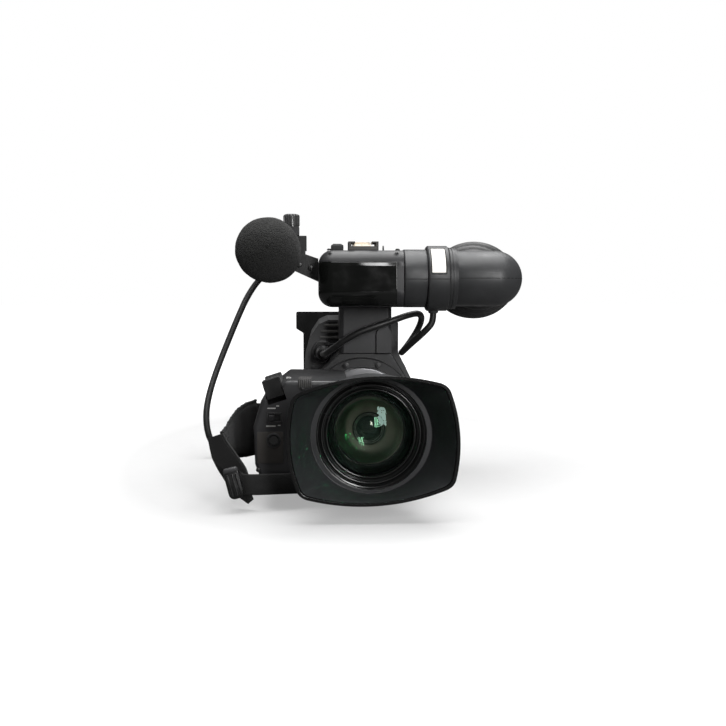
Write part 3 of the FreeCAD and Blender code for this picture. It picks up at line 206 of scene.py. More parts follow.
def rubber(name, colour, rough, scale=2200.0, depth=0.00008):
    made = Surface(name, colour, rough, Sheen_Weight=0.15, Sheen_Roughness=0.4)
    dust = made.span(made.noise(420, 5.0), 0.56, 0.72)
    grey = tuple(c * 2.2 for c in made.colour)
    return made.finish(made.noise(scale, 3.0), depth,
                       top=lambda drift, dark, light: made.tint(dust, made.tint(drift, dark, light), grey))


def metal(name, colour, rough, stretch=(1, 1, 1), scale=900.0, depth=0.00003, **more):
    made = Surface(name, colour, rough, Metallic=1.0, **more)
    return made.finish(made.noise(scale, 4.0, stretch), depth, spread=0.15)


def crackle(name, colour, rough):
    made = Surface(name, colour, rough)
    cells = made.add("TexVoronoi", [("Vector", made.coord)], Scale=1100.0).outputs["Distance"]
    return made.finish(cells, 0.00009, worn=(0.1, 0.1, 0.1))


def cloth(name, colour, rough, across, along, pitch, depth=0.00035):
    made = Surface(name, colour, rough, Sheen_Weight=0.08, Sheen_Roughness=0.5)
    height = made.weave(across, along, pitch)
    fuzz = made.span(made.noise(900, 5.0), 0.55, 0.75)
    pale = tuple(c * 2.6 for c in made.colour)
    return made.finish(height, depth, top=lambda drift, dark, light: made.tint(
        made.combine("MULTIPLY", fuzz, height), made.tint(drift, dark, light), pale))


def foam_skin(name):
    made = Surface(name, (0.019, 0.019, 0.018), 0.95, Sheen_Weight=0.06, Sheen_Roughness=0.6)
    cells = made.add("TexVoronoi", [("Vector", made.coord)], Scale=850.0).outputs["Distance"]
    pores = made.span(cells, 0.12, 0.6)
    # the pores are sunk by the bump and their colour is darkened to 0.35 of the dark tone: painted shade in
    # the pores
    return made.finish(made.combine("ADD", pores, made.noise(1800, 3.0)), 0.0005,
                       top=lambda drift, dark, light: made.tint(
                           pores, tuple(c * 0.35 for c in dark), made.tint(drift, dark, light)))


def glass(name, tint, clear, least, rough=0.02):
    """Coated glass: what is behind it, and a tinted mirror image from its least share, at a slant more."""
    made = Surface(name, tint, rough)
    tree, nodes = made.tree, made.tree.nodes
    nodes.remove(made.shader)
    through = made.add("BsdfTransparent", Color=(*clear, 1))
    smear = made.span(made.noise(60, 3.0), 0.35, 0.7, rough, rough + 0.03)
    mirror = made.add("BsdfGlossy", [("Roughness", smear)], Color=(*tint, 1))
    slant = made.add("Fresnel", IOR=1.55).outputs[0]
    share = made.span(slant, 0.03, 1.0, least, 0.9)
    both = made.add("MixShader", [(0, share), (1, through.outputs[0]), (2, mirror.outputs[0])])
    tree.links.new(both.outputs[0], nodes["Material Output"].inputs["Surface"])
    return made.mat


def hood_skin(name, rim_at):
    """Matt flare with a dark, smooth band along its front rim, before that depth in metres."""
    made = Surface(name, (0.03, 0.031, 0.033), 0.46)
    mat = made.finish(made.noise(2200, 2.0), 0.00005, worn=(0.1, 0.1, 0.1))
    depth = made.add("SeparateXYZ", [("Vector", made.coord)]).outputs["Y"]
    flare = made.span(depth, rim_at - 0.0004, rim_at + 0.0004)
    colour, rough = made.shader.inputs["Base Color"], made.shader.inputs["Roughness"]
    banded = made.tint(flare, (0.006, 0.006, 0.006), colour.links[0].from_socket)
    smoother = made.combine("MULTIPLY", rough.links[0].from_socket, made.span(flare, 0, 1, 0.45, 1))
    made.tree.links.new(banded, colour)
    made.tree.links.new(smoother, rough)
    return mat


def circuit(name):
    made = Surface(name, (0.02, 0.11, 0.05), 0.45)
    tracks = made.add("TexBrick", [("Vector", made.coord)], Scale=160.0).outputs["Fac"]
    return made.finish(tracks, 0.0001, top=lambda drift, dark, light: made.tint(
        tracks, made.tint(drift, dark, light), (0.3, 0.22, 0.08)))


def screen(name):
    made = Surface(name, (0.012, 0.013, 0.016), 0.08, Coat_Weight=0.5, Coat_Roughness=0.03)
    return made.finish(made.noise(120, 5.0), 0.00001, haze=0.03)


def lamp_cover(name):
    made = Surface(name, (0.82, 0.8, 0.75), 0.4, Emission_Color=(1, 0.98, 0.93, 1),
                   Emission_Strength=0.55)
    return made.finish(made.noise(700, 2.0), 0.00004, spread=0.04)


def make_materials():
    return {
        "black_plastic": plastic("moulded_black", (0.036, 0.036, 0.038), 0.42),
        "body_shell": plastic("shell_paint", (0.05, 0.05, 0.051), 0.46, 1100.0, 0.00009),
        "frame_metal": crackle("frame_paint", (0.03, 0.03, 0.031), 0.42),
        "control_plastic": plastic("control_satin", (0.045, 0.045, 0.047), 0.36, 1900.0, 0.00003),
        "ring_rubber": rubber("ring_rubber", 0.024, 0.62),
        "gloss_panel": plastic("gloss_panel", (0.006, 0.0065, 0.006), 0.13, 500.0, 0.00001, None),
        "bright_steel": metal("bright_steel", (0.5, 0.49, 0.47), 0.32, (1, 12, 1)),
        "gear_steel": metal("gear_steel", (0.32, 0.32, 0.33), 0.36, (1, 1, 9)),
        "lens_glass": glass("lens_glass", (0.6, 0.9, 0.8), (0.97, 0.98, 0.96), 0.004),
        "lens_cells": plastic("cell_black", (0.03, 0.028, 0.024), 0.35, 900.0, 0.00003, None),
        "circuit": circuit("circuit"),
        "soft_rubber": rubber("soft_rubber", (0.02, 0.02, 0.0205), 0.6),
        "foam": foam_skin("foam"),
        "strap_fabric": cloth("strap_fabric", 0.006, 0.85, 1, 2, 0.0009),
        "strap_webbing": cloth("strap_webbing", 0.006, 0.75, 0, 2, 0.0009, 0.0002),
        "cable_jacket": rubber("cable_jacket", 0.014, 0.45, 900.0, 0.00003),
        "plug_shell": plastic("plug_shell", (0.025, 0.025, 0.026), 0.34),
        # not in the record: trims that have their own look
        "lamp": lamp_cover("tally_cover"),
        "cream": plastic("spring_plate", (0.8, 0.71, 0.58), 0.4, 900.0, 0.00002, None),
        "print": plastic("white_print", (0.6, 0.6, 0.58), 0.6, worn=None),
        "screen": screen("dark_screen"),
        "red": plastic("record_red", (0.35, 0.02, 0.015), 0.38, worn=None),
        "green_glass": glass("inner_glass", (0.45, 1.0, 0.65), (0.94, 0.96, 0.93), 0.012, 0.03),
        "brown": plastic("grip_panel", (0.052, 0.047, 0.043), 0.5, 1300.0, 0.00007),
        "hood": hood_skin("hood_matt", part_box("lens_hood")[0][1] + 0.0016),
        "finder_paint": plastic("finder_paint", (0.05, 0.051, 0.053), 0.4, 1700.0, 0.00005),
        "ring_black": plastic("ring_black", 0.01, 0.2, 600.0, 0.00001, None, Specular_IOR_Level=0.9),
        "cell_bowl": plastic("cell_bowl", (0.13, 0.12, 0.105), 0.5, 900.0, 0.00002, None),
        "deep_glass": screen("deep_glass"),
        "seam_dark": plastic("seam_dark", 0.006, 0.7, worn=None),
        "screw_black": metal("screw_black", 0.09, 0.4),
        "thread": cloth("thread", (0.035, 0.035, 0.034), 0.8, 0, 2, 0.0007, 0.0001),
        "flap_fabric": cloth("flap_fabric", 0.016, 0.55, 0, 2, 0.0007, 0.00012),
        "buckle": plastic("buckle", 0.008, 0.35, 1500.0, 0.00003),
        "slide_grey": plastic("slide_grey", (0.1, 0.098, 0.094), 0.45, 1500.0, 0.00003),
        "plate_grey": plastic("plate_grey", (0.12, 0.12, 0.118), 0.4, 500.0, 0.00002, None),
        # a light metal strip that stands for the highlight on the fascia's edges: painted highlight
        "line_silver": metal("line_silver", 0.2, 0.35),
        "shoe_metal": metal("shoe_metal", (0.07, 0.068, 0.066), 0.42, (1, 10, 1)),
        "cup_rubber": rubber("cup_rubber", 0.028, 0.42),
        "knob_satin": plastic("knob_satin", 0.09, 0.3, 1900.0, 0.00003),
        "rocker_rubber": rubber("rocker_rubber", 0.013, 0.5),
        # darker crackle paint: on the mic holder, and on the battery plate as painted shade for the shadow it
        # sits in
        "dark_plate_and_shade": crackle("dark_plate_and_shade", 0.012, 0.5),
    }


# ---------------------------------------------------------------- shape helpers

def frame_at(origin, axis, up=None):
    """A frame whose local Z runs along axis, and whose local X lies as near to up as it can."""
    z = Vector(axis).normalized()
    hint = Vector(up) if up is not None else z.orthogonal()
    y = z.cross(hint).normalized()
    rows = Matrix((y.cross(z), y, z)).transposed().to_4x4()
    rows.translation = origin
    return rows


def put_mesh(name, verts, faces, look, body="root", slot=None, at=None, sharp=35, stands_for=()):
    """A piece of the object from local millimetres, in place, shaded, and riding on its body. The slot
    argument is not used."""
    mesh = bpy.data.meshes.new(name)
    where = at or Matrix.Identity(4)
    mesh.from_pydata([where @ (Vector(v) * MM) for v in verts], [], faces)
    tool = bmesh.new()
    tool.from_mesh(mesh)
    bmesh.ops.remove_doubles(tool, verts=tool.verts, dist=0.00002)
    bmesh.ops.recalc_face_normals(tool, faces=tool.faces)
    tool.to_mesh(mesh)
    tool.free()
    mesh.materials.append(MATERIALS[look])
    mesh.shade_smooth()
    mesh.set_sharp_from_angle(angle=math.radians(sharp))
    obj = bpy.data.objects.new(name, mesh)
    bpy.context.scene.collection.objects.link(obj)
    if body is not None:
        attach(obj, body)
    if stands_for:
        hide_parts(*stands_for)
    return obj


def grid(rows, closed_rows=False, closed_cols=True, caps=False):
    """Vertices and faces of a net over equal rows of points."""
    count, width = len(rows), len(rows[0])
    faces = []
    for i in range(count if closed_rows else count - 1):
        for j in range(width if closed_cols else width - 1):
            k, m = (i + 1) % count, (j + 1) % width
            faces.append((i * width + j, i * width + m, k * width + m, k * width + j))
    if caps:
        faces.append(tuple(range(width)))
        faces.append(tuple((count - 1) * width + j for j in range(width)))
    return [p for row in rows for p in row], faces


def ribs(count, depth, share=0.55, twist=0.0):
    """Radial ribs: a flat topped wave of that depth in millimetres, by angle and height."""
    def wave(angle, height):
        phase = (angle * count / (2 * math.pi) + height * twist) % 1.0
        edge = min(phase, 1 - phase) * 2
        return depth * min(1.0, max(0.0, (edge - (1 - share)) * 6))
    return wave


def lathe_net(profile, steps=96, wave=None):
    """A turned solid. Profile is a loop of (radius, height[, weight of the wave]), or runs from
    axis to axis."""
    rows = []
    for radius, height, *weight in profile:
        row = []
        for i in range(steps):
            angle = 2 * math.pi * i / steps
            r = radius + (weight[0] * wave(angle, height) if weight and wave else 0)
            row.append((r * math.cos(angle), r * math.sin(angle), height))
        rows.append(row)
    solid = profile[0][0] < 0.02 or profile[-1][0] < 0.02
    return grid(rows, closed_rows=not solid)


def lathe(name, profile, origin, axis, look, body="root", steps=96, wave=None, **more):
    """A turned piece about an axis through origin."""
    verts, faces = lathe_net(profile, steps, wave)
    return put_mesh(name, verts, faces, look, body, at=frame_at(origin, axis), **more)


def gather(parts):
    """One net, in row millimetres, from several (frame, vertices, faces)."""
    verts, faces = [], []
    for where, some, own in parts:
        start = len(verts)
        verts += [(where @ (Vector(v) * MM)) / MM for v in some]
        faces += [tuple(i + start for i in face) for face in own]
    return verts, faces


def curve_object(name, points, radius=None):
    """A NURBS curve in the row frame with these points, in metres, as its control points."""
    data = bpy.data.curves.new(name, "CURVE")
    data.dimensions = "3D"
    line = data.splines.new("NURBS")
    line.points.add(len(points) - 1)
    for point, place in zip(line.points, points):
        point.co = (*place, 1)
    line.order_u = 3
    line.use_endpoint_u = True
    line.resolution_u = 12
    if radius is not None:
        data.bevel_depth = radius
        data.bevel_resolution = 8
        data.use_fill_caps = True
    obj = bpy.data.objects.new(name, data)
    bpy.context.scene.collection.objects.link(obj)
    return obj


def spline_line(points):
    """The points, in metres, that a NURBS curve over these control points passes through."""
    obj = curve_object("line_of", points)
    bpy.context.view_layer.update()
    mesh = bpy.data.meshes.new_from_object(obj)
    line = [v.co.copy() for v in mesh.vertices]
    bpy.data.objects.remove(obj)
    bpy.data.meshes.remove(mesh)
    return line


def way_at(line, i):
    """The way along a line of points at one of them."""
    return line[min(i + 1, len(line) - 1)] - line[max(i - 1, 0)]


def tube_rows(line, radius, steps=20):
    """Rings of a tube along a line of points in metres, turned as little as possible."""
    rows, side = [], None
    for i, here in enumerate(line):
        way = way_at(line, i).normalized()
        side = way.orthogonal() if side is None else side - way * side.dot(way)
        side.normalize()
        other = way.cross(side)
        rows.append([(here + (side * math.cos(a) + other * math.sin(a)) * radius) / MM
                     for a in (2 * math.pi * j / steps for j in range(steps))])
    return rows


def ribbon(name, path, across, section, look, **more):
    """A flat band along a smooth path in millimetres, on the root body. across gives its width's way at
    a share of the path, and section the outline (along the width, through the thickness) there."""
    line = spline_line([Vector(p) * MM for p in path])
    rows = []
    for i, here in enumerate(line):
        share = i / (len(line) - 1)
        way = way_at(line, i).normalized()
        wide = Vector(across(share))
        wide = (wide - way * wide.dot(way)).normalized()
        out = way.cross(wide)
        rows.append([here / MM + wide * a + out * b for a, b in section(share)])
    verts, faces = grid(rows, caps=True)
    return put_mesh(name, verts, faces, look, **more)


def flat_section(width, thick, steps=5):
    """A strip's section with rounded edges."""
    r = thick / 2
    points = []
    for side in (1, -1):
        for i in range(steps):
            angle = math.pi * (i / (steps - 1) - 0.5)
            points.append((side * (width / 2 - r + r * math.cos(angle)), side * r * math.sin(angle)))
    return points


def block_net(low, high, bevel=0.6, steps=2):
    """A small moulded block between two corners, its edges rounded."""
    tool = bmesh.new()
    bmesh.ops.create_cube(tool, size=1)
    size = [abs(b - a) for a, b in zip(low, high)]
    for v in tool.verts:
        v.co = Vector([(a + b) / 2 + c * s for a, b, c, s in zip(low, high, v.co, size)])
    bmesh.ops.bevel(tool, geom=tool.edges, offset=min(bevel, 0.45 * min(size)), segments=steps,
                    profile=0.6, affect="EDGES", clamp_overlap=True)
    tool.verts.index_update()
    net = [v.co.copy() for v in tool.verts], [[v.index for v in f.verts] for f in tool.faces]
    tool.free()
    return net


def slab_net(width, ends, corner, faces_at, bevel):
    """A plate in local X and Y with round corners at its low end, between two heights."""
    low, high = ends
    corners = [(1, 1, high, 1.2), (-1, 1, high, 1.2), (-1, -1, low, corner), (1, -1, low, corner)]
    back, front = faces_at
    edge = bevel * 0.3
    rows = []
    for z, inset in ((back, bevel), (back + edge, edge), (back + bevel, 0),
                     (front - bevel, 0), (front - edge, edge), (front, bevel)):
        row = []
        for quarter, (sx, sy, end, r) in enumerate(corners):
            for i in range(6):
                a = math.radians(90 * quarter + 18 * i)
                row.append((sx * (width / 2 - r) + (r - inset) * math.cos(a),
                            end - sy * r + (r - inset) * math.sin(a), z))
        rows.append(row)
    return grid(rows, caps=True)


def block(name, low, high, look, body="root", bevel=0.6, steps=2, **more):
    return put_mesh(name, *block_net(low, high, bevel, steps), look, body, **more)


def blocks(name, boxes, look, body="root", bevel=0.3, steps=2, **more):
    """One piece of several blocks: (low corner, high corner), then its own bevel and steps if it has any."""
    parts = [(Matrix(), *block_net(low, high, *(own or (bevel, steps)))) for low, high, *own in boxes]
    return put_mesh(name, *gather(parts), look, body, **more)


# ---------------------------------------------------------------- cords

MIC_ROUTE = [(-77.5, 31, 194), (-77.5, 47, 194), (-81, 59, 191), (-90, 66, 183.5), (-102, 67, 172),
             (-111.5, 62, 157), (-118.5, 55, 141), (-126, 47, 122), (-134, 38, 101), (-141, 28, 81),
             (-145.8, 18.5, 64), (-148.5, 9, 48), (-148, 1.5, 34), (-145.3, -2.5, 22),
             (-140.5, -1.5, 12), (-135.5, 6, 6), (-131.5, 17, 5.5), (-129, 28.5, 11), (-127.5, 38, 21),
             (-124.5, 47, 31), (-117.58, 55.96, 38), (-105.07, 62.22, 38)]
FINDER_ROUTE = [(-34, -84.8, 106.5), (-34, -97, 106.5), (-27.5, -106, 111), (-16, -110, 119.5),
                (-3, -111.5, 127), (12, -111, 132), (27, -109, 137), (40, -105, 141.5),
                (50, -97, 143), (54, -86, 138.5), (51.5, -79.5, 129), (45, -79, 118.5),
                (38.5, -84.5, 110.5), (34.5, -95, 107.8), (35, -106.5, 109.8), (40.5, -117, 116.5),
                (47.5, -124, 123.5), (54, -127, 130), (58.9, -127, 136), (58.9, -127, 143.2)]
MIC_RADIUS, FINDER_RADIUS = 3.1, 2.8


def make_cords():
    """The microphone's lead to the input box and the viewfinder's lead to the body."""
    mic_route = [Vector(p) * MM for p in MIC_ROUTE]
    finder_route = [Vector(p) * MM for p in FINDER_ROUTE]
    plugs = make_plugs(mic_route, finder_route)
    lead = curve_object("mic_lead", mic_route, MIC_RADIUS * MM)
    lead.data.materials.append(MATERIALS["cable_jacket"])
    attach(lead, "root")
    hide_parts("mic_cable")

    line = spline_line(finder_route)
    verts, faces = grid(tube_rows(line, FINDER_RADIUS * MM), caps=True)
    link = put_mesh("viewfinder_lead", verts, faces, "cable_jacket", None,
                    stands_for=["viewfinder_cable"])
    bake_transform(link)


def make_plugs(mic_route, finder_route):
    """Plug shells with grip ribs and ringed strain reliefs, from each mouth towards its cable."""
    core = 0.02
    # name, end of the lead, its next point, length and count of the relief's rings, the shell
    ends = [("mic_plug", mic_route[0], mic_route[1], 16, 5,
             [(core, 0), (3.5, 0), (4.6, 16), (7.5, 17), (9.5, 21), (9.5, 34, 1), (9.5, 35, 0), (9.5, 52, 0),
              (8.7, 52.8), (8.7, 54), (9.5, 54.8), (9.5, 70.7), (core, 70.7)]),
            ("input_plug", mic_route[-1], mic_route[-2], 12, 5,
             [(core, 0), (3.5, 0), (4.6, 12), (7.5, 13), (9.5, 16), (9.5, 30, 1), (9.5, 31, 0), (9.5, 41),
              (8, 42), (8, 50), (core, 50)]),
            ("finder_plug", finder_route[0], finder_route[1], 5.5, 3,
             [(core, 0), (3.2, 0), (4.4, 5.5), (6.6, 9.5), (6.6, 18, 1), (6.6, 20), (5, 20), (5, 29.5),
              (core, 29.5)])]
    made = []
    for name, tail, onward, relief, count, shape in ends:
        shell = lathe(name, shape, tail, tail - onward, "plug_shell", steps=112, wave=ribs(28, -0.45),
                      stands_for=["cable_plugs"])
        rings = []
        for i in range(count):
            low = relief * i / count
            r = 3.9 + 1.1 * i / count
            rings += [(r - 0.7, low), (r + 0.5, low + 0.5), (r + 0.5, low + relief / count * 0.6),
                      (r - 0.7, low + relief / count * 0.7)]
        rings += [(2.6, relief), (2.6, 0)]
        sleeve = lathe(name + "_relief", rings, tail, tail - onward, "cable_jacket", steps=48)
        sleeve.parent = shell
        sleeve.matrix_parent_inverse = shell.matrix_world.inverted()
        made.append(shell)
    return made


# ---------------------------------------------------------------- lens

def bead(radius, height, size):
    """A half round bead on a ring's front, from its outer foot to its inner one."""
    return [(radius + size * math.cos(a), height - size * math.sin(a))
            for a in (math.pi * i / 6 for i in range(7))]


def make_lens():
    """Front rings, and the cells and coated elements behind the glass."""
    front = spot("front_ring", FRONT_FACE)
    rings = [(41, 10.5), (41, 1.6), *bead(40.1, 1.0, 0.8), (39.1, 2.2), (38.4, 2.5), (38.2, 2.1),
             (37.7, 2.9), (37.5, 2.6), (37, 3.5), *bead(35.9, 4.2, 0.85), (34.8, 5.6), (34.2, 5.9),
             (34, 5.5), (33.4, 6.6), *bead(32.4, 7.4, 0.75), (31.5, 8.6), (31.5, 10.5)]
    lathe("front_rings", rings, front, Y, "ring_black", steps=144, stands_for=["front_ring"],
          slot="frame_metal", sharp=50)
    cells = spot("inner_lens_cells", FRONT_FACE)
    named = dict(stands_for=["inner_lens_cells"], slot="lens_cells")
    step = [(31.6, -20), *bead(31, -19.6, 0.5), (29.5, -13), (28.6, -12.6), (27.6, -11.5),
            *bead(26.4, -10.6, 0.6), (25.6, -9), (25.6, -7), (31.6, -9.5)]
    lathe("front_cell", step, cells, Y, "ring_black", steps=120, sharp=50, **named)
    bowl = [(25.5, -8.6), (25.2, -8.8), (24.4, -7.6), (21.6, -4.6), (18, -2.2), (14.8, -0.6), (13.2, 0),
            (12.6, 0.6), (12.4, 4.5), (25.5, 4.5)]
    lathe("zoom_cell", bowl, cells, Y, "cell_bowl", steps=120, sharp=50, **named)
    throat = [(12.3, 4.2), (12.3, 1.6), (11.9, 1.2), (10.9, 3), (9.8, 3.4), (8.4, 5), (7.6, 6), (7.5, 12),
              (12.3, 12)]
    lathe("iris_cell", throat, cells, Y, "ring_black", steps=120, sharp=50, **named)
    hoops = [(0.4 * math.cos(a), 0.4 * math.sin(a)) for a in (math.pi * i / 4 for i in range(8))]
    for i, (radius, depth) in enumerate(((11.3, 1.7), (10.1, 3))):
        lathe(f"cell_hoop_{i + 1}", [(radius + x, depth + y) for x, y in hoops], cells, Y, "knob_satin",
              steps=96, **named)
    heart = dome(7.4, 16, 6.4) + [(7.4, 14), (0.01, 14)]
    lathe("rear_element", heart, cells, Y, "deep_glass", steps=72, **named)
    lathe("second_element", dome(23.6, 33, -22) + [(23.6, -11)] + dome(23.6, 44, -8, -1)[::-1],
          cells, Y, "green_glass", steps=96, **named)


def ring_grip(node, name, radii, ends, chamfer, count, depth):
    """Ribbed rubber sleeve on a turning ring. Radii are of its foot, its edges and its crest."""
    foot, edge, crest = radii
    low, high = ends
    sleeve = [(foot, low), (edge, low, 0), (crest, low + chamfer, 1), (crest, high - chamfer, 1),
              (edge, high, 0), (foot, high)]
    lathe(name, sleeve, spot(node, FRONT_FACE), Y, "ring_rubber", node, steps=count * 6,
          wave=ribs(count, -depth), sharp=25)


def make_rings():
    """Rubber and scales on the turning rings, the zoom lever's end and the hood's screw."""
    # ring, radius, where its rubber ends, where its scale is, count and depth of its ribs
    for node, radius, high, scale, count, depth in (("focus_ring", 39, 18, 22.5, 110, 0.55),
                                                    ("iris_ring", 32.5, 12, 14.4, 64, 0.6)):
        ring_grip(node, node + "_grip", (radius - 0.5, radius + 0.15, radius + 0.5), (2.2, high), 0.7,
                  count, depth)
        start = spot(node, FRONT_FACE, (0, scale, 0))
        marks = [(frame_at(start + out_at(angle) * radius * MM, out_at(angle), Y), (-0.9, -0.25), 0.12)
                 for angle in range(20, 161, 14)]
        strokes(node + "_scale", marks, node)
    ring_grip("zoom_ring", "zoom_ring_grip", (35.6, 36.1, 36.4), (2, 10.2), 0.6, 88, 0.5)
    ball_end = [(0.01, -8), (2.2, -8), (2.5, -6.4), (3.1, -5), (3.3, -2.6), (2.9, -0.8), (1.8, -0.1),
                (0.01, 0)]
    lathe("zoom_lever", ball_end, spot("zoom_ring", (1, 0, 0.5), (0, 6, 0)), X, "control_plastic",
          "zoom_ring", steps=32)
    ring_grip("diopter_ring", "diopter_grip", (23, 23.4, 23.7), (1.6, 8.4), 0.6, 56, 0.45)
    knurl = [(0.01, 0), (3.9, 0), (4.4, 0.5, 1), (4.4, 7, 1), (3.8, 7.6), (2.4, 7.7), (2.2, 7.2),
             (0.01, 7.2)]
    way = Vector((1, 0, -1)).normalized()
    axis = spot("focus_ring", MIDDLE)
    axis.y = spot("hood_knob", MIDDLE).y
    lathe("hood_screw", knurl, axis + way * 44.6 * MM, way, "control_plastic", "hood_knob", steps=120,
          wave=ribs(20, -0.6), sharp=25)


def dome(radius, curve, height, side=1):
    """Points of a ball's face from its axis out to that radius. Height is the apex."""
    reach = math.asin(radius / curve)
    return [(max(0.01, curve * math.sin(a)), height + side * curve * (1 - math.cos(a)))
            for a in (reach * i / 10 for i in range(11))]


def out_at(angle):
    """Way out of the lens at so many degrees from the camera's left, over the top."""
    turn = math.radians(angle)
    return Vector((math.cos(turn), 0, math.sin(turn)))


def strokes(name, marks, body="root"):
    """Printed strokes from (frame, low corner, thickness): flat bars centred on each frame."""
    parts = [(where, *block_net((x, y, -0.2), (-x, -y, rise), 0.05, 1)) for where, (x, y), rise in marks]
    return put_mesh(name, *gather(parts), "print", body, slot="control_plastic")


# ---------------------------------------------------------------- viewfinder

def make_viewfinder():
    """Tally window, seams and grooves of the viewfinder, and its ribbed eyecup."""
    drum, elbow = 27.3, 23.4
    centre = FINDER / MM
    centre.x = 0

    def around(x, radius, angle):
        """A place on the viewfinder's barrel, by the angle above its front, and the way out there."""
        out = Vector((0, -math.cos(angle), math.sin(angle)))
        return centre + X * x + out * radius, out

    rows = []
    for i in range(13):
        angle = math.radians(9 + 54 * i / 12)
        full = 0.75 + 0.25 * min(1.0, min(i, 12 - i) / 1.2) if 0 < i < 12 else 0
        row = [around(x, drum + rise * full - 0.05, angle)[0] for x, rise in
               ((55, 0), (55.25, 0.45), (55.7, 0.62), (60.7, 0.66), (65.7, 0.62), (66.15, 0.45), (66.4, 0))]
        rows.append(row + [around(x, drum - 0.85, angle)[0] for x in (66.4, 55)])
    put_mesh("tally_window", *grid(rows, caps=True), "lamp", "viewfinder", slot="control_plastic")
    runs = [[around(x, drum, math.radians(a)) for a in range(7, 67, 3)] for x in (54.6, 66.8)]
    runs += [[around(x, drum, math.radians(a)) for x in (54.4, 58, 63, 67)] for a in (7, 65)]
    put_mesh("tally_gap", *gather([(Matrix(), *inlay_net(*zip(*run), 0.7, 0.1)) for run in runs]),
             "seam_dark", "viewfinder", slot="black_plastic")
    for name, start, end, radius in (("collar_seam", 33, 52, 24.3), ("drum_seam", 53.4, 70, drum)):
        nets = []
        for side in (-1, 1):
            points = [centre + Vector((start + (end - start) * i / 4, side * radius, -0.8)) for i in range(5)]
            nets.append((Matrix(), *inlay_net(points, [Y * side] * 5, 0.55, 0.08)))
        put_mesh(name, *gather(nets), "seam_dark", "viewfinder", slot="black_plastic")
    bend = 134 - elbow
    points = [centre + Vector((78.5 + (bend - 78.5) * i / 5, -elbow, 0)) for i in range(6)]
    outs = [-Y] * 6
    for i in range(1, 10):
        angle = math.pi * 0.5 * i / 9
        outs.append(Vector((math.sin(angle), -math.cos(angle), 0)))
        points.append(centre + X * bend + outs[-1] * elbow)
    put_mesh("elbow_seam", *inlay_net(points, outs, 0.55, 0.08), "seam_dark", "eyepiece",
             slot="black_plastic")
    grooves = [(25.2, 0.3), (25.9, 0.5), (25.9, 1.6), (25.2, 1.9), (25.2, 2.5), (25.9, 2.8), (25.9, 4.0),
               (25.2, 4.3), (25.2, 4.8), (24.2, 5.1), (24.2, 6.5), (23, 6.5), (23, 0.3)]
    lathe("pivot_rings", grooves, (centre + X * 70.4) * MM, X, "finder_paint", "viewfinder", steps=120,
          slot="black_plastic")

    start = spot("eyecup", FRONT_FACE)
    shape = [(15.8, 0, 0), (22.5, 0, 0), (24, 6, 0.2), (27, 10, 0.7), (30, 14, 1), (32.8, 17.4, 1),
             (34.6, 20, 1), (35.6, 23.4, 1), (36, 27, 1), (35.8, 30.6, 0.9), (35, 34, 0.5),
             (33, 37.4, 0.1), (30, 40, 0), (28.4, 39.8, 0), (27.5, 39, 0), (32, 33, 0), (33.2, 27, 0),
             (31.5, 21, 0), (27.5, 16.5, 0), (21.2, 8, 0), (20, 3.5, 0), (15.8, 3.5, 0)]
    cup = lathe("eyecup_ribbed", refined(shape, 0.75), start, Y, "cup_rubber", "eyepiece", steps=168,
                wave=swirl(4, 1.8, 0.2), stands_for=["eyecup"], slot="soft_rubber", sharp=60)
    low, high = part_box("eyecup")
    oval = Matrix.Scale((high[0] - low[0]) / (high[2] - low[2]), 4, X)
    cup.data.transform(Matrix.Translation(start) @ oval @ Matrix.Translation(-start))


def refined(profile, step):
    """The same closed profile with more points along its runs."""
    made = []
    for a, b in zip(profile, profile[1:] + profile[:1]):
        count = max(1, round(math.dist(a[:2], b[:2]) / step))
        made += [tuple(p + (q - p) * i / count for p, q in zip(a, b)) for i in range(count)]
    return made


def swirl(count, depth, twist):
    """Slanting rounded ribs with narrow valleys between them."""
    def wave(angle, height):
        phase = angle * count / (2 * math.pi) + height * twist
        return -depth * (0.5 + 0.5 * math.cos(2 * math.pi * phase)) ** 2.4
    return wave


# ---------------------------------------------------------------- microphone

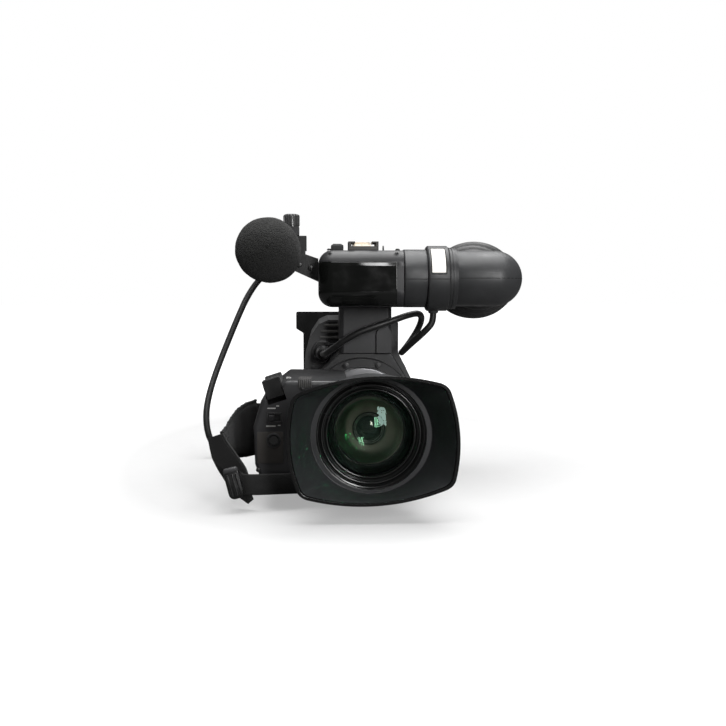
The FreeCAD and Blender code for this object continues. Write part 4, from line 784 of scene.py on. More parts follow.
def make_microphone():
    """Foam windscreen, grooves in the microphone, and the knurled knob of its clamp."""
    low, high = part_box("windscreen")
    start = spot("windscreen", FRONT_FACE)
    radius, length, corner = 25.7, (high[1] - low[1]) / MM, 6
    shape = [(max(0.01, radius * math.sin(a)), radius * (1 - math.cos(a)))
             for a in (math.pi * 0.5 * i / 30 for i in range(31))]
    shape += [(radius, radius + (length - corner - radius) * i / 36) for i in range(1, 37)]
    shape += [(radius - corner * (1 - math.cos(a)), length - corner + corner * math.sin(a))
              for a in (math.pi * 0.5 * i / 6 for i in range(1, 7))]
    shape += [(15, length - 0.2), (10.7, length - 0.6), (10.6, 14), (0.01, 14)]
    foam = lathe("foam_windscreen", shape, start, Y, "foam", steps=192, stands_for=["windscreen"], sharp=80)
    for vertex in foam.data.vertices:
        if (vertex.co - MIC).xz.length > 0.014 or vertex.co.y < MIC.y - 0.03:
            place = vertex.co / MM
            lump = noise.noise(place / 9) * 0.35 + noise.noise(place / 1.4) * 0.22
            vertex.co += vertex.normal * (lump - 0.45) * MM
    vents_from = Vector((MIC.x, -0.098, MIC.z))
    sleeve = [(10.2, 0), (10.9, 0.3)]
    for i in range(9):
        sleeve += [(10.9, 2 + 3 * i), (10.4, 2.3 + 3 * i), (10.4, 3.2 + 3 * i), (10.9, 3.5 + 3 * i)]
    sleeve += [(10.9, 31), (10.2, 31.3)]
    lathe("mic_vents", sleeve, vents_from, Y, "frame_metal", steps=72, sharp=30)
    foot = spot("clamp_knob", (0.5, 0.5, 1), (0, 0, -10.6))
    knurl = [(5.7, -3.4), (6.5, -3.2), (6.5, -0.6), (6.1, -0.2), (6.1, 0.6), (7, 1, 1), (7, 9.4, 1),
             (6.2, 10.4), (4.6, 10.9), (4.4, 10.7), (0.01, 10.7), (0.01, 9.8), (5.7, 9.8)]
    lathe("clamp_screw_head", knurl, foot, Z, "knob_satin", "clamp_knob", steps=144,
          wave=ribs(16, -1.0, 0.55), slot="control_plastic", sharp=25)
    screws("arm_screws", -Y, [(-54, -121.5, 184.2), (-44.5, -121.5, 181.5)], 2.1)


# ---------------------------------------------------------------- small repeated pieces

def screws(name, way, places, radius):
    """Cross recessed screw heads that face one way, at places in millimetres."""
    r = radius
    shape = [(0.01, 0.5 * r), (0.35 * r, 0.5 * r), (0.8 * r, 0.42 * r), (r, 0.1), (r, -0.4), (0.01, -0.4)]
    parts = []
    for place in places:
        where = frame_at(mm(*place), way)
        parts.append((where, *lathe_net(shape, 20)))
        for turn in (0.5, 0.5 + math.pi / 2):
            spin = where @ Matrix.Rotation(turn, 4, "Z")
            parts.append((spin, *block_net((-0.6 * r, -0.12 * r, 0), (0.6 * r, 0.12 * r, 0.56 * r), 0.05, 1)))
    return put_mesh(name, *gather(parts), "screw_black", slot="frame_metal", sharp=50)


def buttons(name, spots, radius, rise, body="root"):
    """Round push buttons with a collar, at (place in metres, way out)."""
    r = radius
    cap = [(0.01, rise - 0.25), (0.6 * r, rise - 0.12), (0.88 * r, rise), (r, rise - 0.35), (r, -0.4),
           (0.01, -0.4)]
    collar = [(r + 0.25, -0.3), (r + 0.25, 0.35), (r + 0.5, 0.5), (r + 1.1, 0.4), (r + 1.3, 0.05),
              (r + 1.3, -0.3)]
    parts = []
    for place, way in spots:
        where = frame_at(place, way)
        parts.append((where, *lathe_net(cap, 32)))
        parts.append((where, *lathe_net(collar, 32)))
    return put_mesh(name, *gather(parts), "control_plastic", body, slot="control_plastic", sharp=40)


def inlay_net(points, outs, width, rise):
    """A thin strip along points of a surface whose ways out are outs."""
    rows = []
    points = [Vector(p) for p in points]
    for i, (point, out) in enumerate(zip(points, outs)):
        side = way_at(points, i).cross(out).normalized() * width / 2
        rows.append([point - side - out * 0.3, point - side + out * rise * 0.4, point + out * rise,
                     point + side + out * rise * 0.4, point + side - out * 0.3])
    return grid(rows, caps=True)


def stitch_net(line, outs, pitch=2.6, thread=0.22):
    """Rounded stitches along a line of points on cloth."""
    parts = []
    lengths = [0.0]
    for a, b in zip(line, line[1:]):
        lengths.append(lengths[-1] + (b - a).length)

    def at(distance):
        for i in range(len(line) - 1):
            if lengths[i + 1] >= distance:
                share = (distance - lengths[i]) / max(1e-6, lengths[i + 1] - lengths[i])
                return line[i].lerp(line[i + 1], share), outs[i].lerp(outs[i + 1], share).normalized()
        return line[-1], outs[-1]
    count = int(lengths[-1] / pitch)
    for k in range(count):
        stitch = []
        for share, lift in ((0.12, -0.15), (0.25, 0.12), (0.5, 0.2), (0.75, 0.12), (0.88, -0.15)):
            place, out = at((k + share) * pitch)
            stitch.append((place + out * lift) * MM)
        parts.append((Matrix(), *grid(tube_rows(stitch, thread * MM, 6), caps=True)))
    return gather(parts)


# ---------------------------------------------------------------- strap

PAD = [(-89.5, -131, 48, 51), (-93.3, -139, 48, 50.5), (-97, -147, 48, 49.5), (-100, -156, 47.8, 47.5),
       (-103, -165, 47.5, 44.5), (-105.2, -174.5, 47, 40.5), (-107.3, -184, 46.5, 36.5),
       (-108.3, -193.5, 46, 33), (-109.3, -203, 45.5, 29.5), (-110.5, -216, 44.5, 26)]
FLAP = [(-114.2, -228.5, 54.8, 17), (-110.9, -229.5, 44.6, 24), (-105.1, -231, 34.8, 26),
        (-98.9, -232.5, 25.9, 26), (-94.6, -234, 14.6, 22), (-88, -235.5, 6.6, 7)]


def along_stations(stations, share, item):
    """A number of the stations at a share of the way along them."""
    place = share * (len(stations) - 1)
    i = min(int(place), len(stations) - 2)
    return stations[i][item] + (stations[i + 1][item] - stations[i][item]) * (place - i)


def lens_section(width, thick, steps=20):
    """A cushion's section: crowned on both sides, thinner at the edges."""
    points = []
    for side in (1, -1):
        for i in range(steps):
            u = math.cos(math.pi * i / steps) * side
            points.append((u * width / 2, side * thick / 2 * (0.8 + 0.2 * (1 - u ** 4))))
    return points


def make_pad():
    """The strap's padded back, its sewn channel and its stitches."""
    channel_in, channel_width, channel_depth, stitch_in = 4.2, 0.9, 0.7, 4.6
    pad = ribbon("hand_pad", [s[:3] for s in PAD], lambda share: Z,
                 lambda share: lens_section(along_stations(PAD, share, 3) - 2.2, 3.6),
                 "strap_fabric", stands_for=["strap_pad"], sharp=80)
    puff(pad)
    middle = [Vector(s[:3]) for s in PAD]
    for vertex in pad.data.vertices:
        share, off = pad_place(vertex.co / MM, middle)
        edge = along_stations(PAD, share, 3) / 2 - abs(off)
        channel = math.exp(-((edge - channel_in) / channel_width) ** 2)
        vertex.co -= vertex.normal * channel * channel_depth * MM
    surface = BVHTree.FromObject(pad, bpy.context.evaluated_depsgraph_get())
    spine = [p / MM for p in spline_line([p * MM for p in middle])]
    nets = []
    for side, face in ((1, 1), (1, -1), (-1, 1), (-1, -1)):
        seam, outs = [], []
        for i in range(2, len(spine) - 2):
            height = along_stations(PAD, i / (len(spine) - 1), 3) / 2 - stitch_in
            out = (spine[i + 1] - spine[i - 1]).cross(Z).normalized() * face
            hit = surface.ray_cast((spine[i] + Z * side * height + out * 8) * MM, -out)[0]
            if hit is not None:
                seam.append(hit / MM - out * 0.25)
                outs.append(out)
        nets.append((Matrix(), *stitch_net(seam, outs)))
    put_mesh("pad_stitches", *gather(nets), "thread", slot="strap_webbing")


def flap_section(share):
    """The flap's outline at a share of its length: a hem along each edge and a crowned middle."""
    width = along_stations(FLAP, share, 3)
    half, edge = width / 2, min(1.0, width / 10)
    top = [(half, 0.1), (half - 0.3 * edge, 0.62), (half - 1.2 * edge, 0.86), (half - 1.9 * edge, 0.62),
           (half - 2.8 * edge, 1.0), (half * 0.4, 1.2), (0, 1.25)]
    both = top + [(-x, z) for x, z in top[-2::-1]]
    return both + [(x, -z) for x, z in both[::-1]]


def make_flap():
    """The flap that closes the strap, and the stitches in its hems."""
    across = Vector((0.7, -0.6, 0.37))
    ribbon("strap_flap", [s[:3] for s in FLAP], lambda share: across, flap_section, "flap_fabric",
           stands_for=["strap_web"], slot="strap_webbing", sharp=70)
    line = spline_line([mm(*s[:3]) for s in FLAP])
    nets = []
    for side in (1, -1):
        seam, outs = [], []
        for i, here in enumerate(line):
            way = way_at(line, i).normalized()
            wide = (across - way * across.dot(way)).normalized()
            out = way.cross(wide)
            out = out if out.y < 0 else -out
            width = along_stations(FLAP, i / (len(line) - 1), 3)
            seam.append(here / MM + wide * side * (width / 2 - 1.9 * min(1, width / 10)) + out * 0.75)
            outs.append(out)
        nets.append((Matrix(), *stitch_net(seam, outs, 2.2, 0.2)))
    put_mesh("flap_stitches", *gather(nets), "thread", slot="strap_webbing")


def make_band():
    """The webbing under the grip, its buckle with a rolled top bar, and the strap's anchor."""
    band = [(-110.3, -207, 45.5), (-112.4, -219, 44.6), (-111.6, -225.8, 40.5), (-106.9, -228.3, 33.5),
            (-102.3, -230.6, 27.4), (-98.5, -236, 23), (-95.5, -240.6, 21), (-90, -243.2, 20.8),
            (-84, -242.6, 20.6), (-74, -240.5, 20.4), (-63, -237.5, 20.2), (-52, -235.3, 20)]
    ribbon("strap_web_band", band, lambda share: Z if share > 0.6 else Vector((0.5, -0.3, 0.8)),
           lambda share: flat_section(15.5, 2.0), "strap_webbing", stands_for=["strap_web"],
           sharp=60)
    lean = math.radians(14)
    buckle = frame_at(mm(-99.6, -245.5, 22.5), (-math.sin(lean), 0, math.cos(lean)), X)
    flat = buckle @ Matrix.Rotation(math.radians(90), 4, "X")
    nets = [(flat, *slab_net(11, (-11.6, 9), 4.2, (-2.6, 2.2), 0.9))]
    for x in (-3.1, 0.4, 3.3):
        for y0, y1 in ((1.6, 3.1), (-2.9, -1.6)):
            nets.append((buckle, *block_net((x - 0.7, y0, -9), (x + 0.7, y1, 7), 0.5, 2)))
    put_mesh("strap_buckle", *gather(nets), "buckle", stands_for=["strap_web"],
             slot="control_plastic")
    roll = [(1.5, -5.2), (2.2, -4.6), (2.4, -3), (2.4, 3), (2.2, 4.6), (1.5, 5.2), (0.9, 5.4), (0.9, -5.4)]
    lathe("buckle_roll", roll, buckle @ mm(0, 0.2, 9.4), buckle.to_3x3() @ X, "control_plastic", steps=32)
    anchor = frame_at(mm(-88.2, -131, 48), Y, Z)
    nets = [(anchor, *block_net((-20, -2.4, -3.4), (20, 1.2, 1.2), 0.8, 2))]
    for x in (-14, 0, 14):
        nets.append((anchor, *block_net((x - 2.4, 0.9, -2.6), (x + 2.4, 2, 0.4), 0.4, 2)))
    put_mesh("strap_anchor", *gather(nets), "control_plastic", slot="black_plastic")


def pad_place(point, middle):
    """Where a point lies on the pad: the share along it, and the height off its middle line."""
    best = (1e9, 0, 0)
    for i in range(len(middle) - 1):
        a, b = middle[i], middle[i + 1]
        way = (b - a).xy
        share = min(1, max(0, (point - a).xy.dot(way) / way.length_squared))
        here = a.lerp(b, share)
        gap = (point - here).xy.length
        if gap < best[0]:
            best = (gap, (i + share) / (len(middle) - 1), point.z - here.z)
    return best[1:]


def puff(obj, scale=10, voxel=0.013, pressure=4.0, cap=0.01, frames=20):
    """Swells a closed fabric piece by inner pressure, as a cloth ten times its size, and applies it.
    Voxels and the cap on how far a point may move are in metres at that size."""
    obj.data.transform(Matrix.Scale(scale, 4))
    remesh = obj.modifiers.new("remesh", "REMESH")
    remesh.mode = "VOXEL"
    remesh.voxel_size = voxel
    bake(obj)
    start = [v.co.copy() for v in obj.data.vertices]
    cloth = obj.modifiers.new("cloth", "CLOTH").settings
    cloth.use_pressure = True
    cloth.uniform_pressure_force = pressure
    cloth.effector_weights.gravity = 0
    cloth.quality = 4
    scene = bpy.context.scene
    for number in range(1, frames + 1):
        scene.frame_set(number)
    bake(obj)
    scene.frame_set(1)
    for vertex, old in zip(obj.data.vertices, start):
        move = vertex.co - old
        if move.length > cap:
            vertex.co = old + move.normalized() * cap
    obj.data.transform(Matrix.Scale(1 / scale, 4))
    smooth = obj.modifiers.new("smooth", "SUBSURF")
    smooth.levels = smooth.render_levels = 1
    bake(obj)
    obj.data.shade_smooth()


def bake(obj):
    """Replaces a piece's mesh with what its modifiers make of it."""
    graph = bpy.context.evaluated_depsgraph_get()
    graph.update()
    made = bpy.data.meshes.new_from_object(obj.evaluated_get(graph))
    obj.modifiers.clear()
    look = obj.data.materials[0]
    obj.data = made
    made.materials.clear()
    made.materials.append(look)


# ---------------------------------------------------------------- body, handle and back

def make_top():
    """Shoe plate, light socket cap, hook, handle inlays and screws of the bracket."""
    deck = box_mm("accessory_shoe")[0][2]
    tray = deck + 3.5
    nets = []
    for x in (-9.4, -1.6):
        rows = []
        for y, rise in ((-137.6, 0.2), (-134, 1.4), (-128, 2), (-121, 1.2), (-117, 0.3)):
            z = tray + rise
            rows.append([(x, y, z), (x + 7.4, y, z), (x + 7.4, y, z - 0.5), (x, y, z - 0.5)])
        nets.append((Matrix(), *grid(rows, caps=True)))
    put_mesh("shoe_spring", *gather(nets), "cream", slot="bright_steel")
    block("shoe_stop", (-9, -117.6, tray - 0.2), (5.8, -116.2, tray + 4.4), "cream", bevel=0.3,
          slot="bright_steel")
    blocks("light_socket_cap", [((-27.4, -136, deck - 0.4), (-17, -122, deck + 5), 1.6, 3),
                                ((-25.9, -134.4, deck + 4.6), (-18.5, -123.6, deck + 5.6), 0.4, 2)],
           "soft_rubber")
    ring = [(2.6 + 0.55 * math.cos(a), 0.55 * math.sin(a)) for a in (math.pi * i / 5 for i in range(10))]
    lathe("top_hook", ring, mm(16.5, -127, deck + 1.4), X, "frame_metal", steps=28)
    screws("bracket_screws", Z, [(-29, -147, deck), (27, -147, deck), (27, -107, deck), (-29, -107, deck)],
           1.9)
    bar = box_mm("handle_bar")[1][2]
    screws("handle_screws", Z, [(0, -92, bar), (0, 116, bar)], 2.4)
    blocks("handle_grip", [((-8.6, y, bar - 0.3), (8.6, y + 2.6, bar + 0.55)) for y in range(-14, 90, 4)],
           "soft_rubber")
    ridge = block_net((-1.3, -4.5, -0.3), (1.3, 4.5, 0.35), 0.3, 2)
    nets = [(frame_at(mm(side * 15, y, 181), X * side, Y), *ridge)
            for side in (-1, 1) for y in range(-20, 80, 5)]
    put_mesh("handle_side_grip", *gather(nets), "soft_rubber")
    low, high = box_mm("rear_pillar")
    back = high[1]
    blocks("rear_tally_bezel", [((-10, back - 0.2, low[2] + 6), (10, back + 0.5, high[2] - 8))],
           "control_plastic", bevel=0.4)
    lathe("rear_tally", [(0.01, 0.9), (2.4, 0.6), (3, 0), (3, -0.4), (0.01, -0.4)],
          mm(0, back + 0.4, low[2] + 17), Y, "red", steps=32, slot="control_plastic")


def make_rocker():
    """The curved skirt that turns with the zoom rocker and closes its well in front."""
    tilt, half, reach = math.radians(18), 6.5, 28.2
    seat = frame_at(mm(-70.6, -206, 87.5), (-math.sin(tilt), 0, math.cos(tilt)),
                    (math.cos(tilt), 0, math.sin(tilt)))
    swept = [math.radians(a) for a in range(20, -9, -4)]
    loop = [(-19.4, 9.6)] + [(-reach * math.cos(a), reach * math.sin(a)) for a in swept]
    loop += [(-reach + 2.4, -3.9), (-reach + 2.6, 3), (-19.4, 6.4)]
    rows = [[(half, y + 0.5, z), (half - 0.5, y, z), (-half + 0.5, y, z), (-half, y + 0.5, z)]
            for y, z in loop]
    verts, faces = grid(rows, closed_rows=True, closed_cols=False)
    for side in (0, 3):
        faces.append(tuple(range(side, 4 * len(rows), 4)))
    put_mesh("rocker_skirt", verts, faces, "buckle", "zoom_rocker", at=seat, sharp=40)


def make_grip_details():
    """Front panel of the servo grip with its switch marks, and the ribbed slide on its top."""
    (_, front, _), (_, _, top) = box_mm("grip_cap")
    blocks("grip_panel", [((-83.2, front - 0.45, 34.8), (-64, front + 1, 58.2))], "brown", bevel=0.5,
           slot="black_plastic")
    lathe("return_bezel", [(3.5, -0.2), (3.5, 0.9), (4.2, 1.25), (5.2, 0.9), (5.6, 0.2), (5.6, -0.2)],
          mm(-71, front, 52), -Y, "control_plastic", steps=48)
    sides = ((-76.4, 64.6, -75.2, 72.4), (-65.8, 64.6, -64.6, 72.4), (-76.4, 71.2, -64.6, 72.4),
             (-76.4, 64.6, -64.6, 65.8))
    blocks("switch_bezel", [((x0, front - 0.5, z0), (x1, front + 0.4, z1)) for x0, z0, x1, z1 in sides],
           "frame_metal", bevel=0.25)
    blocks("switch_ridges", [((-74.4 + 1.1 * i, front - 2.1, 66.7), (-73.9 + 1.1 * i, front - 1.2, 70.3))
                             for i in range(4)], "control_plastic", "servo_switch", 0.15, 1)
    upright = Matrix.Rotation(math.radians(90), 4, "X")
    strokes("switch_marks", [(Matrix.Translation(mm(x, front - 0.02, z)) @ upright, (-w / 2, -h / 2), 0.14)
                             for x, z, w, h in ((-72.5, 75.6, 6, 0.9), (-67.9, 77.3, 2, 0.8),
                                                (-73.1, 62.4, 7, 1.0), (-67, 62.9, 2, 0.8))])
    slide = [((-53, front - 0.7, top - 5.5), (-43, front + 24, top + 0.7), 0.6, 2)]
    for i in range(7):
        x = -52.4 + 1.4 * i
        slide += [((x, front - 1.5, top - 5), (x + 0.8, front + 0.6, top + 1.3)),
                  ((x, front - 1, top), (x + 0.8, front + 22, top + 1.4))]
    blocks("grip_slide", slide, "slide_grey", slot="control_plastic")
    strokes("grip_marks", [(Matrix.Translation(mm(x, y, 96.04)), (-1.8, -0.35), 0.12)
                           for x, y in ((-60.6, -214), (-60.4, -209), (-60.8, -204))])
    screws("grip_screws", -Y, [(-82.5, front, 30), (-50, front, 90), (-45, front, 22)], 1.8)
    lathe("record_cap", [(0.01, 0.35), (3.4, 0.5), (4.8, 0.9), (5.6, 0.5), (5.9, -0.2), (0.01, -0.2)],
          spot("record_button", (0.5, 1, 0.5)), Y, "red", "record_button", steps=48,
          slot="control_plastic")


def make_left_side():
    """Monitor screen and marks, card door, buttons, vents and screws on the camera's left."""
    glass_face, cover, housing = 52, 50, 47.4
    block("monitor_glass", (glass_face - 0.7, -34.4, 28.6), (glass_face + 0.02, 40.4, 65.4), "screen",
          "monitor", 0.2, slot="gloss_panel")
    face = box_mm("monitor")[1][0]
    blocks("monitor_trim", [((face - 0.5, -34, 66.2), (face + 0.25, 38, 67.2), 0.2, 1),
                            ((face - 0.5, -34, 26.6), (face + 0.25, 38, 27.6), 0.2, 1),
                            ((face - 0.6, 38, 40), (face + 0.5, 44.4, 54), 0.5, 2)],
           "control_plastic", "monitor")
    ring_marks = []
    for i in range(4):
        a = math.radians(35 + 35 * i)
        place = mm(48.1, -76 + 12 * math.cos(a), 58 + 12 * math.sin(a))
        ring_marks.append((frame_at(place, X, Y), (-0.9, -0.4), 0.3))
    strokes("filter_marks", ring_marks)
    for name, radius, reach, count in (("filter_dial", 9, 4.6, 24), ("power_switch", 8, 4.6, 20),
                                       ("level_knob_1", 5.5, 6.4, 16), ("level_knob_2", 5.5, 6.4, 16)):
        tip = spot(name, (1, 0.5, 0.5))
        knurl = [(radius - 1, 0), (radius - 0.1, 0, 0), (radius + 0.35, 0.5, 1),
                 (radius + 0.3, reach - 0.4, 1), (radius - 0.4, reach, 0), (radius - 1.4, reach)]
        lathe(name + "_knurl", knurl, tip - X * (reach + 1.1) * MM, X, "control_plastic", name,
              steps=count * 6, wave=ribs(count, -0.55), sharp=25)
        block(name + "_pointer", (-0.35, 1, -0.2), (0.35, radius - 1.2, 0.25), "print", name, 0.1, 1,
              at=frame_at(tip, X, Y), slot="control_plastic")
    door = box_mm("card_door")[1][0]
    block("card_notch", (door - 0.3, 108, 33.2), (door + 0.7, 120, 35.4), "control_plastic", "card_door",
          0.35)
    strokes("card_marks", side_marks(door, [(99 + 4 * i, 57) for i in range(3)], (-1.4, -0.4)), "card_door")
    slope = Vector((30, 0, 15)).normalized()
    panel = frame_at(mm(42.5, 0, 91), slope, Y)
    row = range(-30, 80, 14)
    buttons("menu_buttons", [(panel @ mm(y, 0, 0), slope) for y in row], 3.2, 1.3)
    strokes("menu_marks", [(panel @ Matrix.Translation(mm(y, 7, 0.02)), (-2.6, -0.4), 0.14) for y in row])
    strokes("menu_line", [(panel @ Matrix.Translation(mm(y, -8, 0.02)), (-5, -0.2), 0.14)
                          for y in (-16, 12, 40)])
    eyelet = lathe_net([(0.9, -0.2), (0.9, 0.15), (1.25, 0.3), (1.55, 0.1), (1.55, -0.2)], 12)
    grille = [(panel @ Matrix.Translation(mm(98 + i * 4, -8 + j * 4, 0)), *eyelet)
              for i in range(7) for j in range(5)]
    put_mesh("speaker_grille", *gather(grille), "frame_metal")
    blocks("left_vents", [((34.6, 10 + i * 6, 112), (35.9, 13 + i * 6, 130)) for i in range(16)],
           "body_shell", bevel=0.45)
    screws("left_screws", X, [(cover, -50, 70), (cover, 138, 70), (cover, 140, 28), (cover, 58, 28)], 2.2)
    strokes("control_marks", side_marks(cover, [(62, 71.5), (77, 71.5), (82, 49), (70, 36), (94, 36)],
                                        (-2.2, -0.4)))
    screws("housing_screws", X, [(housing, -90, 50), (housing, -62, 50)], 2)


def side_marks(x, places, low):
    """Strokes on the camera's left at these (y, z)."""
    return [(frame_at(mm(x, y, z), X, Y), low, 0.15) for y, z in places]


def make_right_side():
    """Fan grille, label, vents, screws and marks on the camera's right, and the input box's knobs."""
    cover, fan, grille = -52, (60, 70), 22
    slats = []
    for z in (52, 56.5, 61, 65.5, 70, 74.5, 79):
        half = math.sqrt(grille ** 2 - (z - fan[1]) ** 2)
        slats.append(((cover - 0.9, fan[0] - half, z - 1.1), (cover + 0.4, fan[0] + half, z + 0.9)))
    blocks("fan_grille", slats, "body_shell", bevel=0.4)
    block("type_plate", (cover - 0.3, -30, 44), (cover + 0.3, 16, 66), "plate_grey", bevel=0.2, steps=1,
          slot="control_plastic")
    strokes("type_marks", [(frame_at(mm(cover - 0.3, y, z), -X, Y), (-w, -0.45), 0.1)
                           for y, z, w in ((-8, 61, 16), (-12, 57, 12), (-5, 53, 19), (-14, 49, 10))])
    screws("right_screws", -X, [(cover, -50, 74), (cover, -50, 30), (cover, 50, 30), (cover, 140, 78)], 2.2)
    slat = block_net((-1.6, -7.5, -0.4), (1.6, 7.5, 0.7), 0.4, 2)
    nets = [(frame_at(mm(-51, 10 + 7 * i, 95), Vector((-22, 0, 2)), Y), *slat) for i in range(14)]
    put_mesh("right_vents", *gather(nets), "body_shell")
    top, row = 58, (88, 100, 112, 124)
    buttons("input_switches", [(mm(-64, y, top), Z) for y in row], 2.6, 1.6)
    strokes("input_marks", [(Matrix.Translation(mm(-57.5, y, top + 0.02)), (-0.4, -2), 0.14) for y in row])


def make_back_details():
    """Battery ribs, its charge lamps and latch, and the jacks on the battery plate."""
    back = box_mm("battery")[1][1]
    block("battery_label", (-27, back - 0.3, 52), (27, back + 0.25, 92), "plate_grey", "battery", 0.3, 1,
          slot="control_plastic")
    lines = ((0, 86, 20), (-5, 80, 15), (-3, 74, 17), (-8, 68, 12), (0, 60, 20))
    strokes("battery_marks", [(frame_at(mm(x, back + 0.25, z), Y, X), (-w, -0.6), 0.12)
                              for x, z, w in lines], "battery")
    bulb = lathe_net([(0.01, 0.7), (1, 0.5), (1.3, 0), (1.3, -0.4), (0.01, -0.4)], 20)
    nets = [(frame_at(mm(-9 + 6 * i, back, 104), Y, X), *bulb) for i in range(4)]
    put_mesh("charge_lamps", *gather(nets), "lamp", "battery", slot="control_plastic")
    buttons("charge_button", [(mm(18, back, 104), Y)], 3, 1, "battery")
    rib = block_net((-0.9, -16, -0.4), (0.9, 16, 0.5), 0.35, 2)
    nets = [(frame_at(mm(side * 40, 163 + 3.2 * i, 78), X * side, Y), *rib)
            for side in (-1, 1) for i in range(9)]
    put_mesh("battery_ribs", *gather(nets), "black_plastic", "battery")
    plate = box_mm("battery_plate")[1][1]
    jack = lathe_net([(0.01, 0.6), (1, 0.6), (1.2, 0.8), (3.2, 0.9), (3.4, 7.6), (4.2, 8), (4.6, 7.4),
                      (4.6, 2.4), (6.4, 2.2), (6.6, 1.6), (6.6, -0.3), (0.01, -0.3)], 40)
    nets = [(frame_at(mm(-47.6, plate, z), Y, X), *jack) for z in (74, 92, 110)]
    put_mesh("video_jacks", *gather(nets), "gear_steel", sharp=40)
    screws("plate_screws", Y, [(-47, plate, 30), (-47, plate, 132), (43.6, plate, 60), (43.6, plate, 110)],
           2.2)
    block("battery_release", (-52, plate - 0.3, 42), (-43.4, plate + 2.6, 60), "control_plastic", bevel=1)
    ridges = [((-50.8, plate + 2.2, z), (-44.6, plate + 3.2, z + 1.2))
              for z in (43.6 + 2.6 * i for i in range(6))]
    blocks("release_ridges", ridges, "control_plastic")


def make_body_front():
    """A painted highlight along the top and right edges of the head's fascia, and the cable clip and small
    parts beside the front pillar.
    """
    low, high = box_mm("front_panel")
    skin = low[1] - 0.02
    across = [(low[0] + 10 + (high[0] - low[0] - 10) * i / 6, skin, high[2] - 0.3) for i in range(7)]
    down = [(high[0] - 0.3, skin, high[2] - 0.2 - 22 * i / 6) for i in range(7)]
    nets = [(Matrix(), *inlay_net(edge, [-Y] * 7, 0.4, 0.1)) for edge in (across, down)]
    # a light silver strip along the fascia's top and right edges: a painted highlight
    put_mesh("fascia_highlight_line", *gather(nets), "line_silver", slot="bright_steel")
    screws("front_screws", -Y, [(-38, -95, 78), (38, -95, 82), (-40, -95, 34), (40, -95, 34)], 2.2)
    face = box_mm("right_cover")[0][1]
    blocks("front_vents", [((x, face - 1.1, z - 1.1), (-9, face + 0.4, z + 1.1))
                           for z, x in ((131, -33), (125.5, -36), (120, -37))],
           "slide_grey", bevel=0.5, slot="body_shell")
    hooks = [((-32, face - 2.6, 112.6), (-17, face + 0.4, 114.4)),
             ((-25.6, face - 2.2, 104), (-23.4, face + 0.4, 113))]
    hooks += [((x - 3.4, face - 1.4, z - 3), (x + 3.4, face + 0.4, z + 3), 0.9, 3)
              for x, z in ((-41.5, 100), (-41.5, 91), (-44, 82))]
    blocks("front_hooks", hooks, "black_plastic", bevel=0.5)
    ring = [(8, -0.3), (8, 1.4), (8.6, 1.9), (10, 1.9), (10.6, 1.3), (10.6, -0.3)]
    lathe("socket_collar", ring, mm(-34, face, 106.5), -Y, "frame_metal", steps=48)


# ---------------------------------------------------------------- CAD nodes

def dress_nodes():
    """Gives each shown CAD node its material and rounded edges."""
    slot_of = {s["node"]: s["material_slot"] for s in frame["record"]["subparts"]}
    fine = {"front_element", "eyepiece_lens", "inner_lens_cells", "sensor_and_boards"}
    special = {"lens_hood": "hood", "viewfinder_slide": "finder_paint", "eyepiece_elbow": "finder_paint",
               "viewfinder_drum": "finder_paint", "record_button": "red", "handle_record_button": "red",
               "accessory_shoe": "shoe_metal", "zoom_rocker": "rocker_rubber", "mic_holder": "dark_plate_and_shade",
               # the battery plate takes the darker paint as painted shade for the shadow it sits in
               "battery_plate": "dark_plate_and_shade", "return_button": "ring_black"}
    for name, obj in frame["nodes"].items():
        obj.data.materials.clear()
        obj.data.materials.append(MATERIALS[special.get(name, slot_of[name])])
        weld = obj.modifiers.new("weld", "WELD")
        weld.merge_threshold = 0.00001
        if name in fine:
            continue
        bevel = obj.modifiers.new("bevel", "BEVEL")
        bevel.width = 0.00045
        bevel.segments = 2
        bevel.limit_method = "ANGLE"
        bevel.angle_limit = math.radians(38)
        bevel.harden_normals = False
        bevel.use_clamp_overlap = True


# ---------------------------------------------------------------- stage

def two_ways(tree, shown, lit, target):
    """What the camera sees, and what lights the object, into one socket."""
    path = tree.nodes.new("ShaderNodeLightPath")
    both = tree.nodes.new("ShaderNodeMixShader")
    tree.links.new(path.outputs["Is Camera Ray"], both.inputs[0])
    tree.links.new(lit, both.inputs[1])
    tree.links.new(shown, both.inputs[2])
    tree.links.new(both.outputs[0], target)


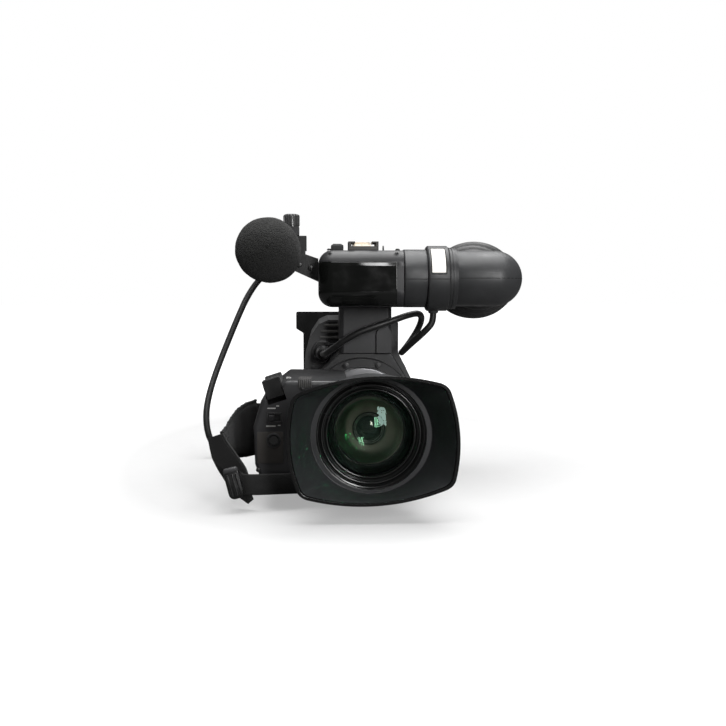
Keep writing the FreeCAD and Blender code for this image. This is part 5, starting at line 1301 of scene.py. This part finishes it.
def make_stage():
    """A white studio: soft lights above, in front and behind, and a pale floor that is white far off."""
    scene = bpy.context.scene
    scene.view_settings.view_transform = "Standard"
    world = bpy.data.worlds.new("studio")
    world.use_nodes = True
    tree = world.node_tree
    glow = []
    for strength in (1.0, AMBIENT):
        back = tree.nodes.new("ShaderNodeBackground")
        back.inputs[0].default_value = (1, 1, 1, 1)
        back.inputs[1].default_value = strength
        glow.append(back.outputs[0])
    two_ways(tree, *glow, tree.nodes["World Output"].inputs[0])
    scene.world = world

    for name, place, width, height, power in LIGHTS:
        data = bpy.data.lights.new(name, "AREA")
        data.shape = "RECTANGLE"
        data.size, data.size_y = width, height
        data.energy = power
        lamp = bpy.data.objects.new(name, data)
        lamp.location = place
        lamp.rotation_euler = (TARGET - Vector(place)).to_track_quat("-Z", "Y").to_euler()
        scene.collection.objects.link(lamp)

    tool = bmesh.new()
    bmesh.ops.create_grid(tool, x_segments=1, y_segments=1, size=14)
    mesh = bpy.data.meshes.new("floor")
    tool.to_mesh(mesh)
    tool.free()
    floor = bpy.data.objects.new("floor", mesh)
    scene.collection.objects.link(floor)
    paper = Surface("paper", (0.5, 0.5, 0.5), 0.9)
    tree = paper.tree
    place = paper.add("Mapping", [("Vector", paper.coord)], Location=(0, -0.02, 0), Scale=(1, 0.62, 1))
    far = paper.add("VectorMath", [(0, place.outputs[0])], operation="LENGTH").outputs["Value"]
    glow = paper.span(far, *FLOOR_GLOW)
    tree.links.new(glow, paper.shader.inputs["Emission Strength"])
    paper.shader.inputs["Emission Color"].default_value = (1, 1, 1, 1)
    mesh.materials.append(paper.finish(paper.noise(900, 3.0), 0.00002, spread=0.004))
    dull = paper.add("BsdfDiffuse", Color=(*FLOOR_BOUNCE, 1))
    two_ways(tree, paper.shader.outputs[0], dull.outputs[0], tree.nodes["Material Output"].inputs["Surface"])


MATERIALS = make_materials()
make_camera()
make_cords()
make_lens()
make_rings()
make_viewfinder()
make_microphone()
make_pad()
make_flap()
make_band()
make_top()
make_rocker()
make_grip_details()
make_left_side()
make_right_side()
make_back_details()
make_body_front()
dress_nodes()
make_stage()
